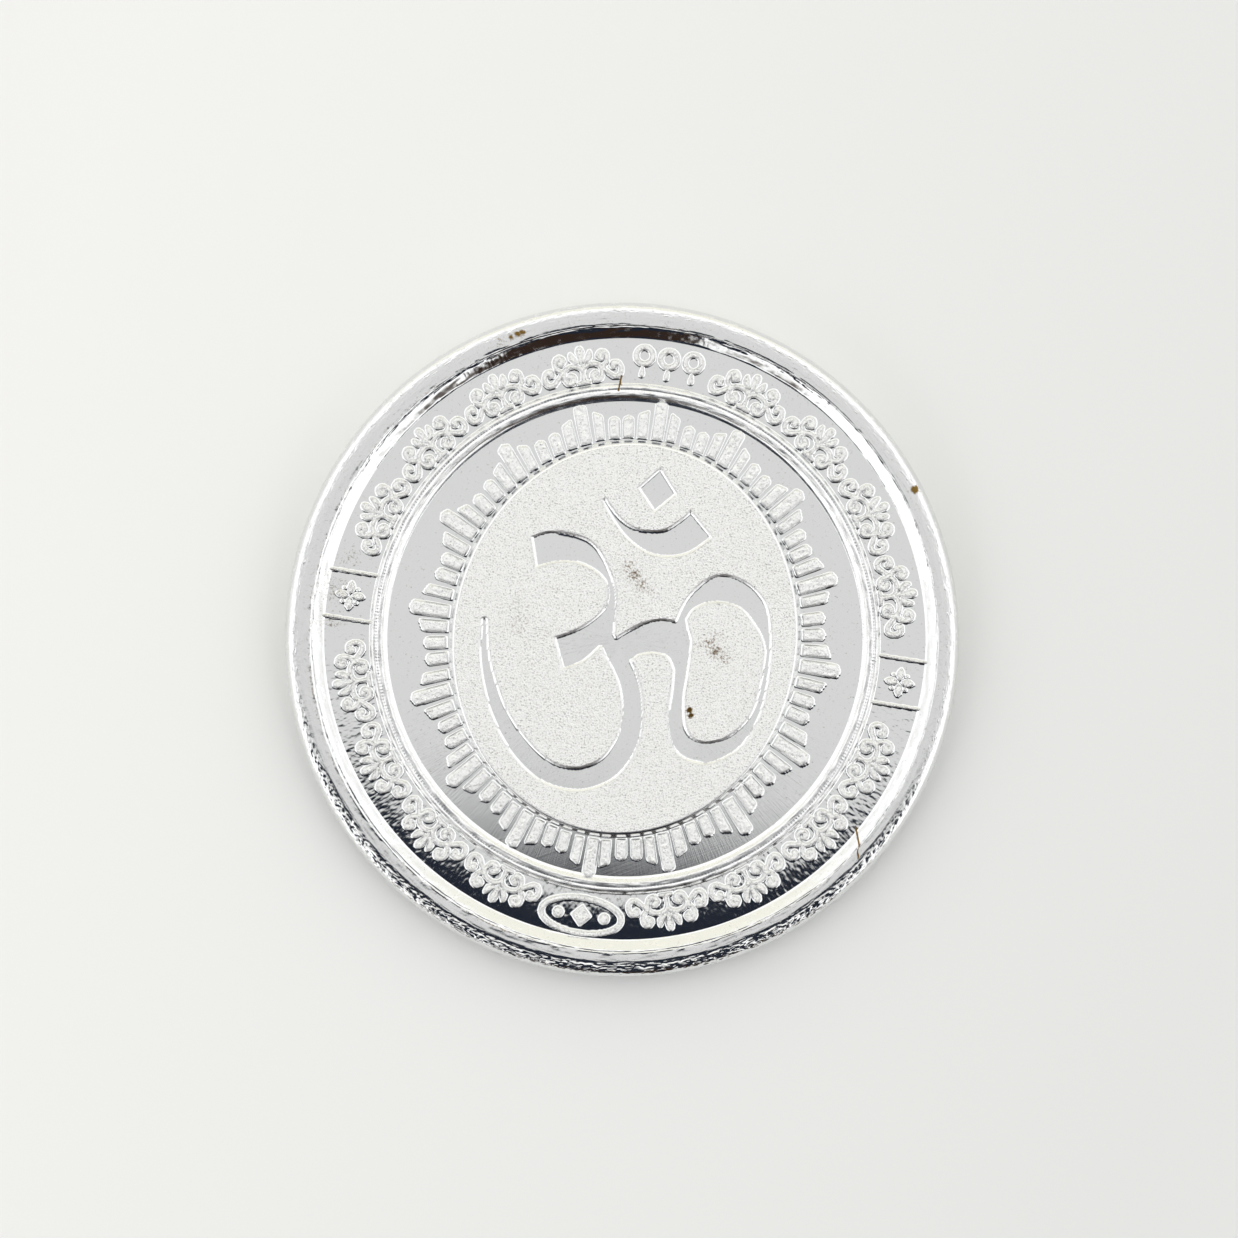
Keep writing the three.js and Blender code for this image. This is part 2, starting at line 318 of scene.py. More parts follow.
@dataclass(frozen=True)
class TarnishSpots:
    """Brown and yellow spots on the obverse.

    Attributes:
        spots: Each x, y, how far it reaches, and its strength.
        cracks: The two ends of each dark hairline.
    """

    spots: tuple[tuple[float, float, float, float], ...] = (
        # Left of the bowls.
        (-4.75, -0.05, 0.6, 0.12), (-4.9, 0.75, 0.5, 0.1), (-3.4, -0.3, 0.3, 0.11),
        # Between the upper bowl and the arm.
        (-0.35, 3.2, 0.36, 0.17), (0.0, 2.85, 0.38, 0.23), (0.35, 2.45, 0.36, 0.2),
        (0.8, 2.3, 0.3, 0.13),
        # On the island.
        (3.35, 0.3, 0.36, 0.12), (3.75, 0.45, 0.42, 0.17), (4.05, 0.1, 0.36, 0.25),
        (4.5, -0.15, 0.34, 0.19), (4.2, 0.8, 0.32, 0.13), (3.33, -2.66, 0.13, 0.62),
        (3.42, -2.9, 0.13, 0.62),
        # On the rim, and at the left of the border.
        (-6.95, 12.45, 0.12, 0.5), (-6.7, 12.65, 0.14, 0.55), (-6.5, 12.75, 0.13, 0.6),
        (-7.4, 12.2, 0.3, 0.18), (11.79, 8.6, 0.15, 0.9), (-13.15, 0.2, 0.8, 0.13),
        (-13.1, -1.2, 0.6, 0.12), (-12.6, 1.6, 0.5, 0.1),
    )
    cracks: tuple[tuple[Point, Point], ...] = (
        ((-2.01, 10.83), (-1.97, 11.51)),
        ((11.42, -6.62), (11.86, -7.91)),
    )

    def over(self, x: Array, y: Array) -> Array:
        """How tarnished each point is: the strongest of the spots' bell curves and the cracks."""
        result = np.zeros(x.shape)
        for left, top, reach, strength in self.spots:
            bell = strength * np.exp(-((x - left) ** 2 + (y - top) ** 2) / reach**2)
            result = np.maximum(result, bell)
        for start, end in self.cracks:
            line = stroke(x, y, [(*start, 0.01), (*end, 0.01)], 2)
            result = np.maximum(result, 1 - soft_step(line, -0.01, 0.04))
        return result


# ---------------------------------------------------------------- what all zones share


@dataclass
class Zone:
    """One zone of one face of the coin, and how a surface becomes its closed body.

    Attributes:
        sizes: The coin's sizes.
        side: The face that it is on.
    """

    sizes: CoinSizes
    side: Side = Side.OBVERSE

    def tarnish(self, x: Array, y: Array) -> Array:
        """How tarnished each point is. The reverse is clean."""
        return TarnishSpots().over(x, y) * (self.side is Side.OBVERSE)

    def piece(
        self,
        name: str,
        points: Array,
        faces: Sequence[Sequence[int]] | Array,
        values: Mapping[str, Array],
    ) -> bpy.types.Object:
        """Makes a mesh object that rides on the coin.

        The reverse is the same thing turned half way round the coin's up and down line: x and the
        height change sign, and the height is counted from the other rim.

        Args:
            name: The piece's name.
            points: Its vertices, in millimetres.
            faces: The vertices of each face.
            values: Named numbers, one for each vertex.

        Returns:
            The object.
        """
        flat = np.array(points, float).reshape(-1, 3)
        if self.side is Side.REVERSE:
            thickness = self.sizes.thickness
            flat = np.stack([-flat[:, 0], flat[:, 1], thickness - flat[:, 2]], axis=-1)
        mesh = bpy.data.meshes.new(name)
        mesh.from_pydata(flat * MM, [], faces)
        for key, numbers in values.items():
            layer = mesh.attributes.new(key, "FLOAT", "POINT")
            layer.data.foreach_set("value", np.clip(numbers, 0, 1).astype(np.float32).ravel())
        mesh.polygons.foreach_set("use_smooth", np.ones(len(mesh.polygons), bool))
        mesh.set_sharp_from_angle(angle=math.radians(SHARP_DEGREES))
        mesh.update()
        piece = bpy.data.objects.new(name, mesh)
        bpy.context.scene.collection.objects.link(piece)
        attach(piece, BODY)
        log.info("%s: %d vertices, %d faces", name, len(mesh.vertices), len(mesh.polygons))
        return piece

    def turned_body(
        self,
        name: str,
        radius: Array,
        angle: Array,
        height: Array,
        values: Mapping[str, Array],
        drift: Array | float = 1.0,
    ) -> bpy.types.Object:
        """Makes a ring-shaped body from a surface over radius and angle, on a flat underside.

        Args:
            name: The piece's name.
            radius: Rows by columns, growing from row to row.
            angle: One row of angles, a full turn.
            height: Rows by columns.
            values: Named rows by columns.
            drift: How much of the design's drift each row takes, from 0 to 1.

        Returns:
            The object.
        """
        points = polar(radius, angle[None, :], height)
        shift = np.broadcast_to(drift, height.shape)[..., None]
        points[..., :2] += np.asarray(self.sizes.drift) * shift
        under = points[[0, -1]]
        under[..., 2] = self.sizes.middle
        points = np.concatenate([under[:1], points, under[1:]])
        layers = {
            key: np.broadcast_to(numbers, height.shape)[[0, *range(height.shape[0]), -1]]
            for key, numbers in values.items()
        }
        faces = grid_quads(points.shape[0], points.shape[1], True, True)
        return self.piece(name, points, faces, layers)

    def disc_body(
        self,
        name: str,
        x: Array,
        y: Array,
        height: Array,
        values: Mapping[str, Array],
        skirt: Sequence[Point],
    ) -> bpy.types.Object:
        """Makes a closed body from a square grid, a skirt round it and a flat underside.

        Args:
            name: The piece's name.
            x: The grid's first coordinates.
            y: Its second coordinates.
            height: Its heights.
            values: Named numbers over the grid. The skirt takes those of the grid's edge.
            skirt: Rings round the grid: how far out from its edge, and the height.

        Returns:
            The object.
        """
        count = x.shape[0]
        index = np.arange(count * count).reshape(count, count)
        edge = np.concatenate([index[0, :-1], index[:-1, -1], index[-1, :0:-1], index[:0:-1, 0]])
        edge_x, edge_y = x.ravel()[edge], y.ravel()[edge]
        wide, high = np.abs(edge_x).max(), np.abs(edge_y).max()
        out_x, out_y = edge_x / wide**2, edge_y / high**2
        length = np.hypot(out_x, out_y)
        out_x, out_y = out_x / length, out_y / length
        rings = [
            np.stack([edge_x + out_x * far, edge_y + out_y * far, np.full(len(edge), low)], axis=-1)
            for far, low in skirt
        ]
        points = np.concatenate([np.stack([x, y, height], axis=-1).reshape(-1, 3), *rings])
        points[:, :2] += self.sizes.drift
        top = grid_quads(count, count, False, False)
        firsts = count * count + len(edge) * np.arange(len(skirt))
        loops = [edge, *(first + np.arange(len(edge)) for first in firsts)]
        walls = [
            np.stack([inner, outer, np.roll(outer, -1), np.roll(inner, -1)], axis=-1)
            for inner, outer in zip(loops[:-1], loops[1:])
        ]
        faces = np.concatenate([top, *walls]).tolist() + [loops[-1][::-1].tolist()]
        layers = {
            key: np.concatenate([numbers.ravel(), np.tile(numbers.ravel()[edge], len(skirt))])
            for key, numbers in values.items()
        }
        return self.piece(name, points, faces, layers)


# ---------------------------------------------------------------- shader nodes


def linear(hex_colour: str) -> tuple[float, float, float, float]:
    """Turns an sRGB hex colour into the linear one that shaders take."""
    channels = [int(hex_colour[i : i + 2], 16) / 255 for i in (1, 3, 5)]
    curve = [c / 12.92 if c <= 0.04045 else ((c + 0.055) / 1.055) ** 2.4 for c in channels]
    return (curve[0], curve[1], curve[2], 1.0)


def add_node(
    tree: Tree,
    kind: str,
    settings: Mapping[str | int, Any] | None = None,
    links: Mapping[str | int, Socket] | None = None,
) -> bpy.types.Node:
    """Adds a node with its settings and links.

    Args:
        tree: The node tree.
        kind: The node's type, after the prefix that all of them share.
        settings: Properties, or inputs by name or number, and their values.
        links: Inputs by name or number, and the outputs that feed them.

    Returns:
        The node.
    """
    node = tree.nodes.new(f"ShaderNode{kind}")
    for key, value in (settings or {}).items():
        if isinstance(key, str) and hasattr(node, key):
            setattr(node, key, value)
        else:
            node.inputs[key].default_value = value
    for key, socket in (links or {}).items():
        tree.links.new(socket, node.inputs[key])
    return node


def empty_tree(owner: bpy.types.Material | bpy.types.World) -> Tree:
    """The node tree of a material or a world, with nothing in it."""
    owner.use_nodes = True
    owner.node_tree.nodes.clear()
    return owner.node_tree


def noise(
    tree: Tree, place: Socket, scale: float, detail: float, roughness: float = 0.5
) -> Socket:
    """Smooth noise over a place, mostly from 0.3 to 0.7."""
    settings = {"Scale": scale, "Detail": detail, "Roughness": roughness}
    return add_node(tree, "TexNoise", settings, {"Vector": place}).outputs["Fac"]


def remap(tree: Tree, value: Socket, source: Point, target: Point = (0.0, 1.0)) -> Socket:
    """Carries a value over from one range to another, and holds it inside."""
    settings = {"From Min": source[0], "From Max": source[1]}
    settings |= {"To Min": target[0], "To Max": target[1]}
    return add_node(tree, "MapRange", settings, {"Value": value}).outputs[0]


def combine(tree: Tree, operation: str, first: Socket, second: Socket) -> Socket:
    """The sum or product of two values."""
    return add_node(tree, "Math", {"operation": operation}, {0: first, 1: second}).outputs[0]


def blend(tree: Tree, share: Socket, low: str | Socket, high: str) -> Socket:
    """Mixes two colours: the high one, a hex colour, takes the share."""
    settings: dict[str | int, Any] = {"data_type": "RGBA", 7: linear(high)}
    links: dict[str | int, Socket] = {"Factor": share}
    if isinstance(low, str):
        settings[6] = linear(low)
    else:
        links[6] = low
    return add_node(tree, "Mix", settings, links).outputs[2]


def bump(
    tree: Tree, height: Socket, depth: float, normal: Socket | None = None, strength: float = 1.0
) -> Socket:
    """Adds bumps of a depth in mm to a normal, or to the plain surface."""
    links = {"Height": height} if normal is None else {"Height": height, "Normal": normal}
    settings = {"Strength": strength, "Distance": depth * MM}
    return add_node(tree, "Bump", settings, links).outputs[0]


# ---------------------------------------------------------------- finishes


@dataclass(frozen=True)
class StruckSilver:
    """Fine silver as a die leaves it.

    A metal close to white. The fields are polished and carry radial flow lines and hairline
    scratches, so they mirror what is above them a little broken up. The relief takes the die's
    blasted texture, so it scatters light and looks white.

    Attributes:
        name: The material's name.
        silver: Clean polished metal.
        blasted: The same metal where it is frosted: light bounces among the grains and comes out
            whiter.
        pit_shade_colour: Painted shade in the pits between the grains: a dark colour that stands in
            for their shadow.
        tarnished: Metal under a brown sulphide film.
        mirror: Roughness of the polished metal.
        frosted: Roughness of the frosted metal.
        dulling: How much roughness a full stain adds.
        grain: Size of the frosting's grains, in mm, drawn twice as coarse as they are, to show.
        grain_depth: Their depth, in mm.
        pit_shade_range: The grain noise at which the painted pit shade starts, and at which it is
            full.
        flow: Spacing of the flow lines at the border, in mm.
        flow_depth: Their depth, in mm.
        flow_radius: The border's radius, where the spacing holds, in mm.
        scratch: Spacing of the hairline scratches, in mm.
        scratch_length: Their length, in mm.
        scratch_depth: Their depth, in mm.
        lays: The directions of the two lays of scratches, in radians.
        speck: Size of the specks in tarnish, in mm.
        brown: The sum of film and specks at which brown starts, and at which it is full.
    """

    name: str = "struck fine silver"
    silver: str = "#E9EAEA"
    blasted: str = "#FBFBFA"
    pit_shade_colour: str = "#5E594F"
    tarnished: str = "#7E6435"
    mirror: float = 0.05
    frosted: float = 0.62
    dulling: float = 0.35
    grain: float = 0.075
    grain_depth: float = 0.06
    pit_shade_range: Point = (0.535, 0.78)
    flow: float = 0.07
    flow_depth: float = 0.0007
    flow_radius: float = 12.5
    scratch: float = 0.05
    scratch_length: float = 6.0
    scratch_depth: float = 0.0002
    lays: Point = (0.5, 1.9)
    speck: float = 0.11
    brown: Point = (0.62, 0.86)

    def build(self) -> bpy.types.Material:
        """Makes the material."""
        material = bpy.data.materials.new(self.name)
        tree = empty_tree(material)
        frost = add_node(tree, "Attribute", {"attribute_name": "frost"}).outputs["Fac"]
        film = add_node(tree, "Attribute", {"attribute_name": "tarnish"}).outputs["Fac"]
        metres = add_node(tree, "TexCoord").outputs["Object"]
        scale = {"operation": "SCALE", "Scale": 1 / MM}
        place = add_node(tree, "VectorMath", scale, {0: metres}).outputs[0]
        specks = noise(tree, place, 1 / self.speck, 4.0, 0.7)
        stain = remap(tree, combine(tree, "ADD", specks, film), self.brown)
        colour = blend(tree, frost, self.silver, self.blasted)
        # Painted shade: the frosting darkens towards a dark grey-brown in the pits between its
        # grains, standing in for their shadow.
        colour = blend(tree, self._pit_shade(tree, place, frost), colour, self.pit_shade_colour)
        colour = blend(tree, stain, colour, self.tarnished)
        roughness = self._roughness(tree, place, frost, stain)
        normal = self._texture(tree, place, frost)
        shader = add_node(
            tree,
            "BsdfPrincipled",
            {"Metallic": 1.0},
            {"Base Color": colour, "Roughness": roughness, "Normal": normal},
        )
        add_node(tree, "OutputMaterial", None, {"Surface": shader.outputs[0]})
        return material

    def _pit_shade(self, tree: Tree, place: Socket, frost: Socket) -> Socket:
        """How much painted shade the frosting takes in its pits: a fine noise's peaks, the highest
        of them black pits.
        """
        grains = noise(tree, place, 1 / self.grain, 3.0, 0.75)
        return combine(tree, "MULTIPLY", remap(tree, grains, self.pit_shade_range), frost)

    def _roughness(self, tree: Tree, place: Socket, frost: Socket, stain: Socket) -> Socket:
        """From mirror to frosted, uneven over about a millimetre, and duller under tarnish."""
        polish = remap(tree, frost, (0.0, 1.0), (self.mirror, self.frosted))
        uneven = remap(tree, noise(tree, place, 1.1, 5.0), (0.0, 1.0), (0.7, 1.3))
        clean = combine(tree, "MULTIPLY", polish, uneven)
        settings = {"operation": "MULTIPLY_ADD", 1: self.dulling, "use_clamp": True}
        return add_node(tree, "Math", settings, {0: stain, 2: clean}).outputs[0]

    def _texture(self, tree: Tree, place: Socket, frost: Socket) -> Socket:
        """The surface's fine texture, as a normal: grain, flow lines and two lays of scratches.

        The grain fades with the cube of the frosting, so that none is left on a mirror.
        """
        grain = noise(tree, place, 1 / self.grain, 2.0, 0.6)
        fade = add_node(tree, "Math", {"operation": "POWER", 1: 3.0}, {0: frost}).outputs[0]
        normal = bump(tree, combine(tree, "MULTIPLY", grain, fade), self.grain_depth)
        lines = noise(tree, self._flow_place(tree, place), 1.0, 3.0, 0.6)
        normal = bump(tree, lines, self.flow_depth, normal)
        for turn in self.lays:
            settings = {
                "vector_type": "TEXTURE",
                "Rotation": (0.0, 0.0, turn),
                "Scale": (self.scratch_length, self.scratch, 1.0),
            }
            lay = add_node(tree, "Mapping", settings, {"Vector": place}).outputs[0]
            normal = bump(tree, noise(tree, lay, 1.0, 2.0), self.scratch_depth, normal)
        return normal

    def _flow_place(self, tree: Tree, place: Socket) -> Socket:
        """Where a point is among the flow lines: close across the radius and drawn out along it."""
        level = {"operation": "MULTIPLY", 1: (1.0, 1.0, 0.0)}
        flat = add_node(tree, "VectorMath", level, {0: place}).outputs[0]
        radius = add_node(tree, "VectorMath", {"operation": "LENGTH"}, {0: flat})
        heading = add_node(tree, "VectorMath", {"operation": "NORMALIZE"}, {0: flat}).outputs[0]
        widen = {"operation": "SCALE", "Scale": self.flow_radius / self.flow}
        across = add_node(tree, "VectorMath", widen, {0: heading}).outputs[0]
        along = add_node(tree, "CombineXYZ", None, {"Z": radius.outputs["Value"]}).outputs[0]
        return add_node(tree, "VectorMath", {"operation": "ADD"}, {0: across, 1: along}).outputs[0]


@dataclass(frozen=True)
class Paper:
    """White drawing paper: nearly white, quite matt, with a faint tooth.

    It is painted a little whiter on the left than on the right: painted light, standing in for the
    falloff of a lamp on the left.

    Attributes:
        name: The material's name.
        left: Its colour on the left, painted lighter, as if lit more.
        right: Its colour on the right, painted darker, as if lit less.
        spread: How far the coin's centre is from where either colour is pure, in mm.
        tooth: Size of the paper's tooth, in mm.
        tooth_depth: Its depth, in mm.
    """

    name: str = "white drawing paper"
    left: str = "#F9F9F7"
    right: str = "#EBECEA"
    spread: float = 30.0
    tooth: float = 0.5
    tooth_depth: float = 0.02

    def build(self) -> bpy.types.Material:
        """Makes the material."""
        material = bpy.data.materials.new(self.name)
        tree = empty_tree(material)
        place = add_node(tree, "TexCoord").outputs["Object"]
        # Painted light: the colour fades from left to right, as a lamp on the left would light the
        # paper.
        rightwards = {"operation": "DOT_PRODUCT", 1: (1.0, -0.2, 0.0)}
        across = add_node(tree, "VectorMath", rightwards, {0: place}).outputs["Value"]
        share = remap(tree, across, (-self.spread * MM, self.spread * MM))
        fibres = noise(tree, place, 1 / (self.tooth * MM), 4.0)
        shader = add_node(
            tree,
            "BsdfPrincipled",
            {"Roughness": 0.9, "Specular IOR Level": 0.2},
            {
                "Base Color": blend(tree, share, self.left, self.right),
                "Normal": bump(tree, fibres, self.tooth_depth, strength=0.2),
            },
        )
        add_node(tree, "OutputMaterial", None, {"Surface": shader.outputs[0]})
        return material


# ---------------------------------------------------------------- the rim


@dataclass
class Rim(Zone):
    """The rim and the half of the edge that belongs to one face.

    Attributes:
        profile: From the foot of the bevel to the middle of the edge: how far in from the edge,
            and how far down from the crest, in mm.
        columns: Grid columns round the coin.
        steps: Grid rows to each span of the profile.
        wander: How unevenly the metal filled the rim, in mm.
        flow: How deep the flow lines on the outer slope are, in mm.
        ripple: The height of the turning marks on the bevel, in mm.
        ripple_pitch: Their spacing, in mm.
        mottle: The height of the fine lumps all over, in mm.
        haze: How frosted the bevel is, and how much more the crest is.
        flecks: How frosted the brightest of the small flecks are.
        crest_starts: How far in from the edge the bevel gives way to the crest, from and to, in mm.
        crest_ends: How far in from the edge the crest gives way to the outer slope.
        crease: How far in from the edge dirt has gathered, and how wide, in mm.
        least_wear: How knocked about the outer slope is at the top, where the bottom is 1.
    """

    profile: tuple[Point, ...] = (
        # The bevel.
        (1.72, 0.43), (1.655, 0.352), (1.58, 0.315), (1.4, 0.18), (1.22, 0.062),
        # The crease and the crest.
        (1.165, 0.037), (1.115, 0.037), (1.08, 0.008), (1.04, 0.0075), (0.9, 0.005),
        (0.77, 0.001), (0.71, 0.0),
        # The outer slope and the edge.
        (0.62, 0.002), (0.53, 0.005), (0.44, 0.01), (0.35, 0.022), (0.28, 0.045), (0.21, 0.09),
        (0.14, 0.17), (0.08, 0.285), (0.03, 0.45), (0.0, 0.68), (0.0, 0.88),
    )
    columns: int = 1440
    steps: int = 3
    wander: float = 0.006
    flow: float = 0.006
    ripple: float = 0.0024
    ripple_pitch: float = 0.19
    mottle: float = 0.011
    haze: Point = (0.03, 0.04)
    flecks: float = 0.5
    crest_starts: Point = (1.15, 0.95)
    crest_ends: Point = (0.72, 0.5)
    crease: Point = (1.06, 0.05)
    least_wear: float = 0.12

    def _sunk(self, shape: tuple[int, int], slope: Array) -> Array:
        """How far the surface sinks, in mm, where the metal did not fill the die.

        The sum of three parts: lines along the radius, which the metal leaves as it flows into the
        die's corner, long waves round the coin, and dents in the outer slope.
        """
        lines = np.abs(unevenness(shape, (5, 1), 5)) * self.flow * (0.3 + 0.7 * slope)
        waves = np.abs(unevenness(shape, (6, 26), 3)) * self.wander
        dents = np.clip(unevenness(shape, (3, 5), 9) - 1.7, 0, 1) * 3 * self.wander * slope
        return lines + waves + dents

    def _lumps(self, shape: tuple[int, int], slope: Array) -> Array:
        """Fine lumps, strongest on the outer slope, and longer ones all over, in mm."""
        fine = self.mottle * unevenness(shape, (1, 2), 13) * (0.15 + 0.85 * slope)
        return fine + 0.4 * self.mottle * unevenness(shape, (2, 9), 17)

    def _frost(self, shape: tuple[int, int], crest: Array, slope: Array) -> Array:
        """How frosted the rim is: a thin haze, and flecks on the outer slope and the bevel."""
        flecks = np.clip(unevenness(shape, (2, 5), 19) - 0.7, 0, 1) * (slope + 0.6 * (1 - crest))
        haze = self.haze[0] * (1 + np.abs(unevenness(shape, (2, 4), 7))) + self.haze[1] * crest
        return haze + self.flecks * flecks

    def _grime(self, shape: tuple[int, int], radius: Array) -> Array:
        """How much dirt lies in the crease: a bell curve across it, uneven along it."""
        across = np.exp(-(((radius - self.sizes.radius + self.crease[0]) / self.crease[1]) ** 2))
        return across * (0.06 + 0.08 * unevenness(shape, (2, 40), 11))

    def build(self) -> bpy.types.Object:
        """Makes the rim: one profile carried round the coin.

        The inner rows follow the design's drift and the outer ones do not. The crest is calm. The
        slope outside it is smooth at the top and sides and knocked about at the bottom.
        """
        sizes = self.sizes
        line = smooth_line(self.profile, self.steps)
        radius = sizes.radius - line[:, :1]
        height = sizes.thickness - line[:, 1:]
        angle = np.arange(self.columns) * (2 * math.pi / self.columns)
        shape = (len(line), self.columns)
        bevel = soft_step(radius, sizes.field_radius - 0.02, sizes.field_radius + 0.1)
        crest, slope = (
            soft_step(radius, sizes.radius - start, sizes.radius - end)
            for start, end in (self.crest_starts, self.crest_ends)
        )
        worn = self.least_wear + (1 - self.least_wear) * soft_step(-np.cos(angle), 0.25, 0.85)
        calm = 1 - crest * (0.88 * (1 - slope) + (1 - worn) * slope)
        edge = soft_step(height, sizes.middle, sizes.middle + 0.3)
        sunk = self._sunk(shape, slope) * bevel * edge * calm
        lumps = self._lumps(shape, slope) * bevel * edge * calm
        marks = self.ripple * np.cos(radius * 2 * math.pi / self.ripple_pitch) * (1 - crest) * bevel
        x, y = radius * np.sin(angle), radius * np.cos(angle)
        grime = self._grime(shape, radius) * (self.side is Side.OBVERSE)
        tarnish = np.maximum(self.tarnish(x, y), grime)
        return self.turned_body(
            f"{self.side.value}_rim_and_edge",
            radius - sunk * slope * 0.7,
            angle,
            height + marks + lumps - sunk * (1 - 0.5 * slope),
            {"frost": self._frost(shape, crest, slope), "tarnish": tarnish},
            1 - crest,
        )


# ---------------------------------------------------------------- the scroll border


@dataclass
class ScrollBorder(Zone):
    """The band inside the rim, with twenty places for emblems.

    Attributes:
        places: How many emblems go round.
        per_place: Grid columns to a place.
        rows: Grid rows across the band.
        rise: The relief's height, in mm.
        wall: The width over which an emblem's edge rises, in mm.
        foot: From the bead ring to the line that the emblems stand on, in mm.
        ruffle: How uneven the field is, in mm.
    """

    places: int = 20
    per_place: int = 96
    rows: int = 47
    rise: float = 0.13
    wall: float = 0.08
    foot: float = 0.04
    ruffle: float = 0.0006

    def emblem(self, kind: Emblem, u: Array, v: Array) -> Array:
        """The height of an emblem, from 0 to 1.

        Args:
            kind: Which emblem.
            u: Distance round the band from the emblem's middle, in mm.
            v: Distance outwards from the emblem's foot line, in mm.

        Returns:
            The heights.
        """
        drawings: dict[Emblem, Callable[[Array, Array], Array]] = {
            Emblem.SPRAY: self._spray,
            Emblem.RINGS: self._rings,
            Emblem.FLOWER: self._flower,
            Emblem.CARTOUCHE: self._cartouche,
            Emblem.BEAD: self._bead,
        }
        return drawings[kind](u, v)

    def _spray(self, u: Array, v: Array) -> Array:
        """A lyre of stems with three pairs of volutes, and a palmette on top.

        Each stem is a pen stroke that curls into its volute's eye. The right half is drawn, and
        the left is its mirror image.
        """
        u = np.abs(u)
        strokes = [
            # From the foot, up the middle, over and down into the inner volute.
            [(0.0, 0.25, 0.09), (0.0, 0.58, 0.09), (0.13, 0.79, 0.1), (0.45, 0.87, 0.1),
             (0.78, 0.74, 0.1), (0.86, 0.43, 0.1), (0.74, 0.17, 0.12), (0.51, 0.15, 0.13),
             (0.43, 0.35, 0.14), (0.56, 0.45, 0.15)],
            # The flared foot.
            [(0.0, 0.32, 0.1), (0.0, 0.13, 0.11), (0.26, 0.07, 0.08)],
            # From the shoulder up and over into the upper volute.
            [(0.86, 0.66, 0.1), (1.07, 0.79, 0.1), (1.16, 1.02, 0.11), (1.11, 1.26, 0.12),
             (0.92, 1.34, 0.12), (0.8, 1.18, 0.14), (0.92, 1.08, 0.15)],
            # From the shoulder down, out and up into the outer volute.
            [(0.9, 0.62, 0.1), (1.11, 0.4, 0.1), (1.34, 0.18, 0.11), (1.58, 0.18, 0.11),
             (1.72, 0.42, 0.11), (1.64, 0.71, 0.12), (1.42, 0.76, 0.14), (1.39, 0.62, 0.14)],
            # The palmette's side leaf and its middle leaf.
            [(0.14, 1.0, 0.06), (0.32, 1.12, 0.14), (0.41, 1.3, 0.13), (0.43, 1.45, 0.06)],
            [(0.0, 0.88, 0.06), (0.0, 1.15, 0.13), (0.0, 1.48, 0.18), (0.0, 1.6, 0.12)],
        ]
        return crowned(np.minimum.reduce([stroke(u, v, line) for line in strokes]), self.wall)

    def _rings(self, u: Array, v: Array) -> Array:
        """Three small rings with a drop below each."""
        pitch = 1.1
        u = u - pitch * np.clip(np.round(u / pitch), -1, 1)
        ring = np.abs(np.hypot(u, v - 1.14) - 0.37) - 0.12
        drop = stroke(u, v, [(0.0, 0.66, 0.04), (0.0, 0.36, 0.11), (0.0, 0.28, 0.11)])
        return crowned(np.minimum(ring, drop), self.wall)

    def _flower(self, u: Array, v: Array) -> Array:
        """A four-petalled flower between two lines that cross the band."""
        line = np.abs(np.abs(u) - 1.05) - 0.065
        x, y = np.abs(u), np.abs(v - 0.93)
        x, y = np.maximum(x, y), np.minimum(x, y)
        petal = stroke(x, y, [(0.12, 0.0, 0.05), (0.36, 0.0, 0.17), (0.62, 0.0, 0.04)])
        bud = np.hypot(x - 0.3, y - 0.3) - 0.08
        relief = crowned(np.minimum(petal, bud), self.wall)
        return np.maximum(relief, 0.7 * crowned(line, 0.05))

    def _cartouche(self, u: Array, v: Array) -> Array:
        """An oval band round a lozenge and two beads."""
        v = v - 1.03
        band = np.abs(ellipse(u, v, 1.79, 0.79)) - 0.125
        lozenge = (np.abs(u) / 0.46 + np.abs(v) / 0.5 - 1) * 0.34
        beads = np.hypot(np.abs(u) - 1.03, v) - 0.24
        inner = crowned(np.minimum(lozenge, beads), self.wall)
        return np.maximum(crowned(band, self.wall), inner)

    def _bead(self, u: Array, v: Array) -> Array:
        """One round bead in the middle of the band."""
        return crowned(np.hypot(u, v - 0.93) - 0.36, 0.3)

    def _emblem_at(self, place: int) -> Emblem:
        """Which emblem stands at a place, counted clockwise from the top."""
        if self.side is Side.REVERSE:
            return Emblem.BEAD
        quarter = self.places // 4
        special = {0: Emblem.RINGS, 1: Emblem.FLOWER, 2: Emblem.CARTOUCHE, 3: Emblem.FLOWER}
        return Emblem.SPRAY if place % quarter else special[place // quarter]

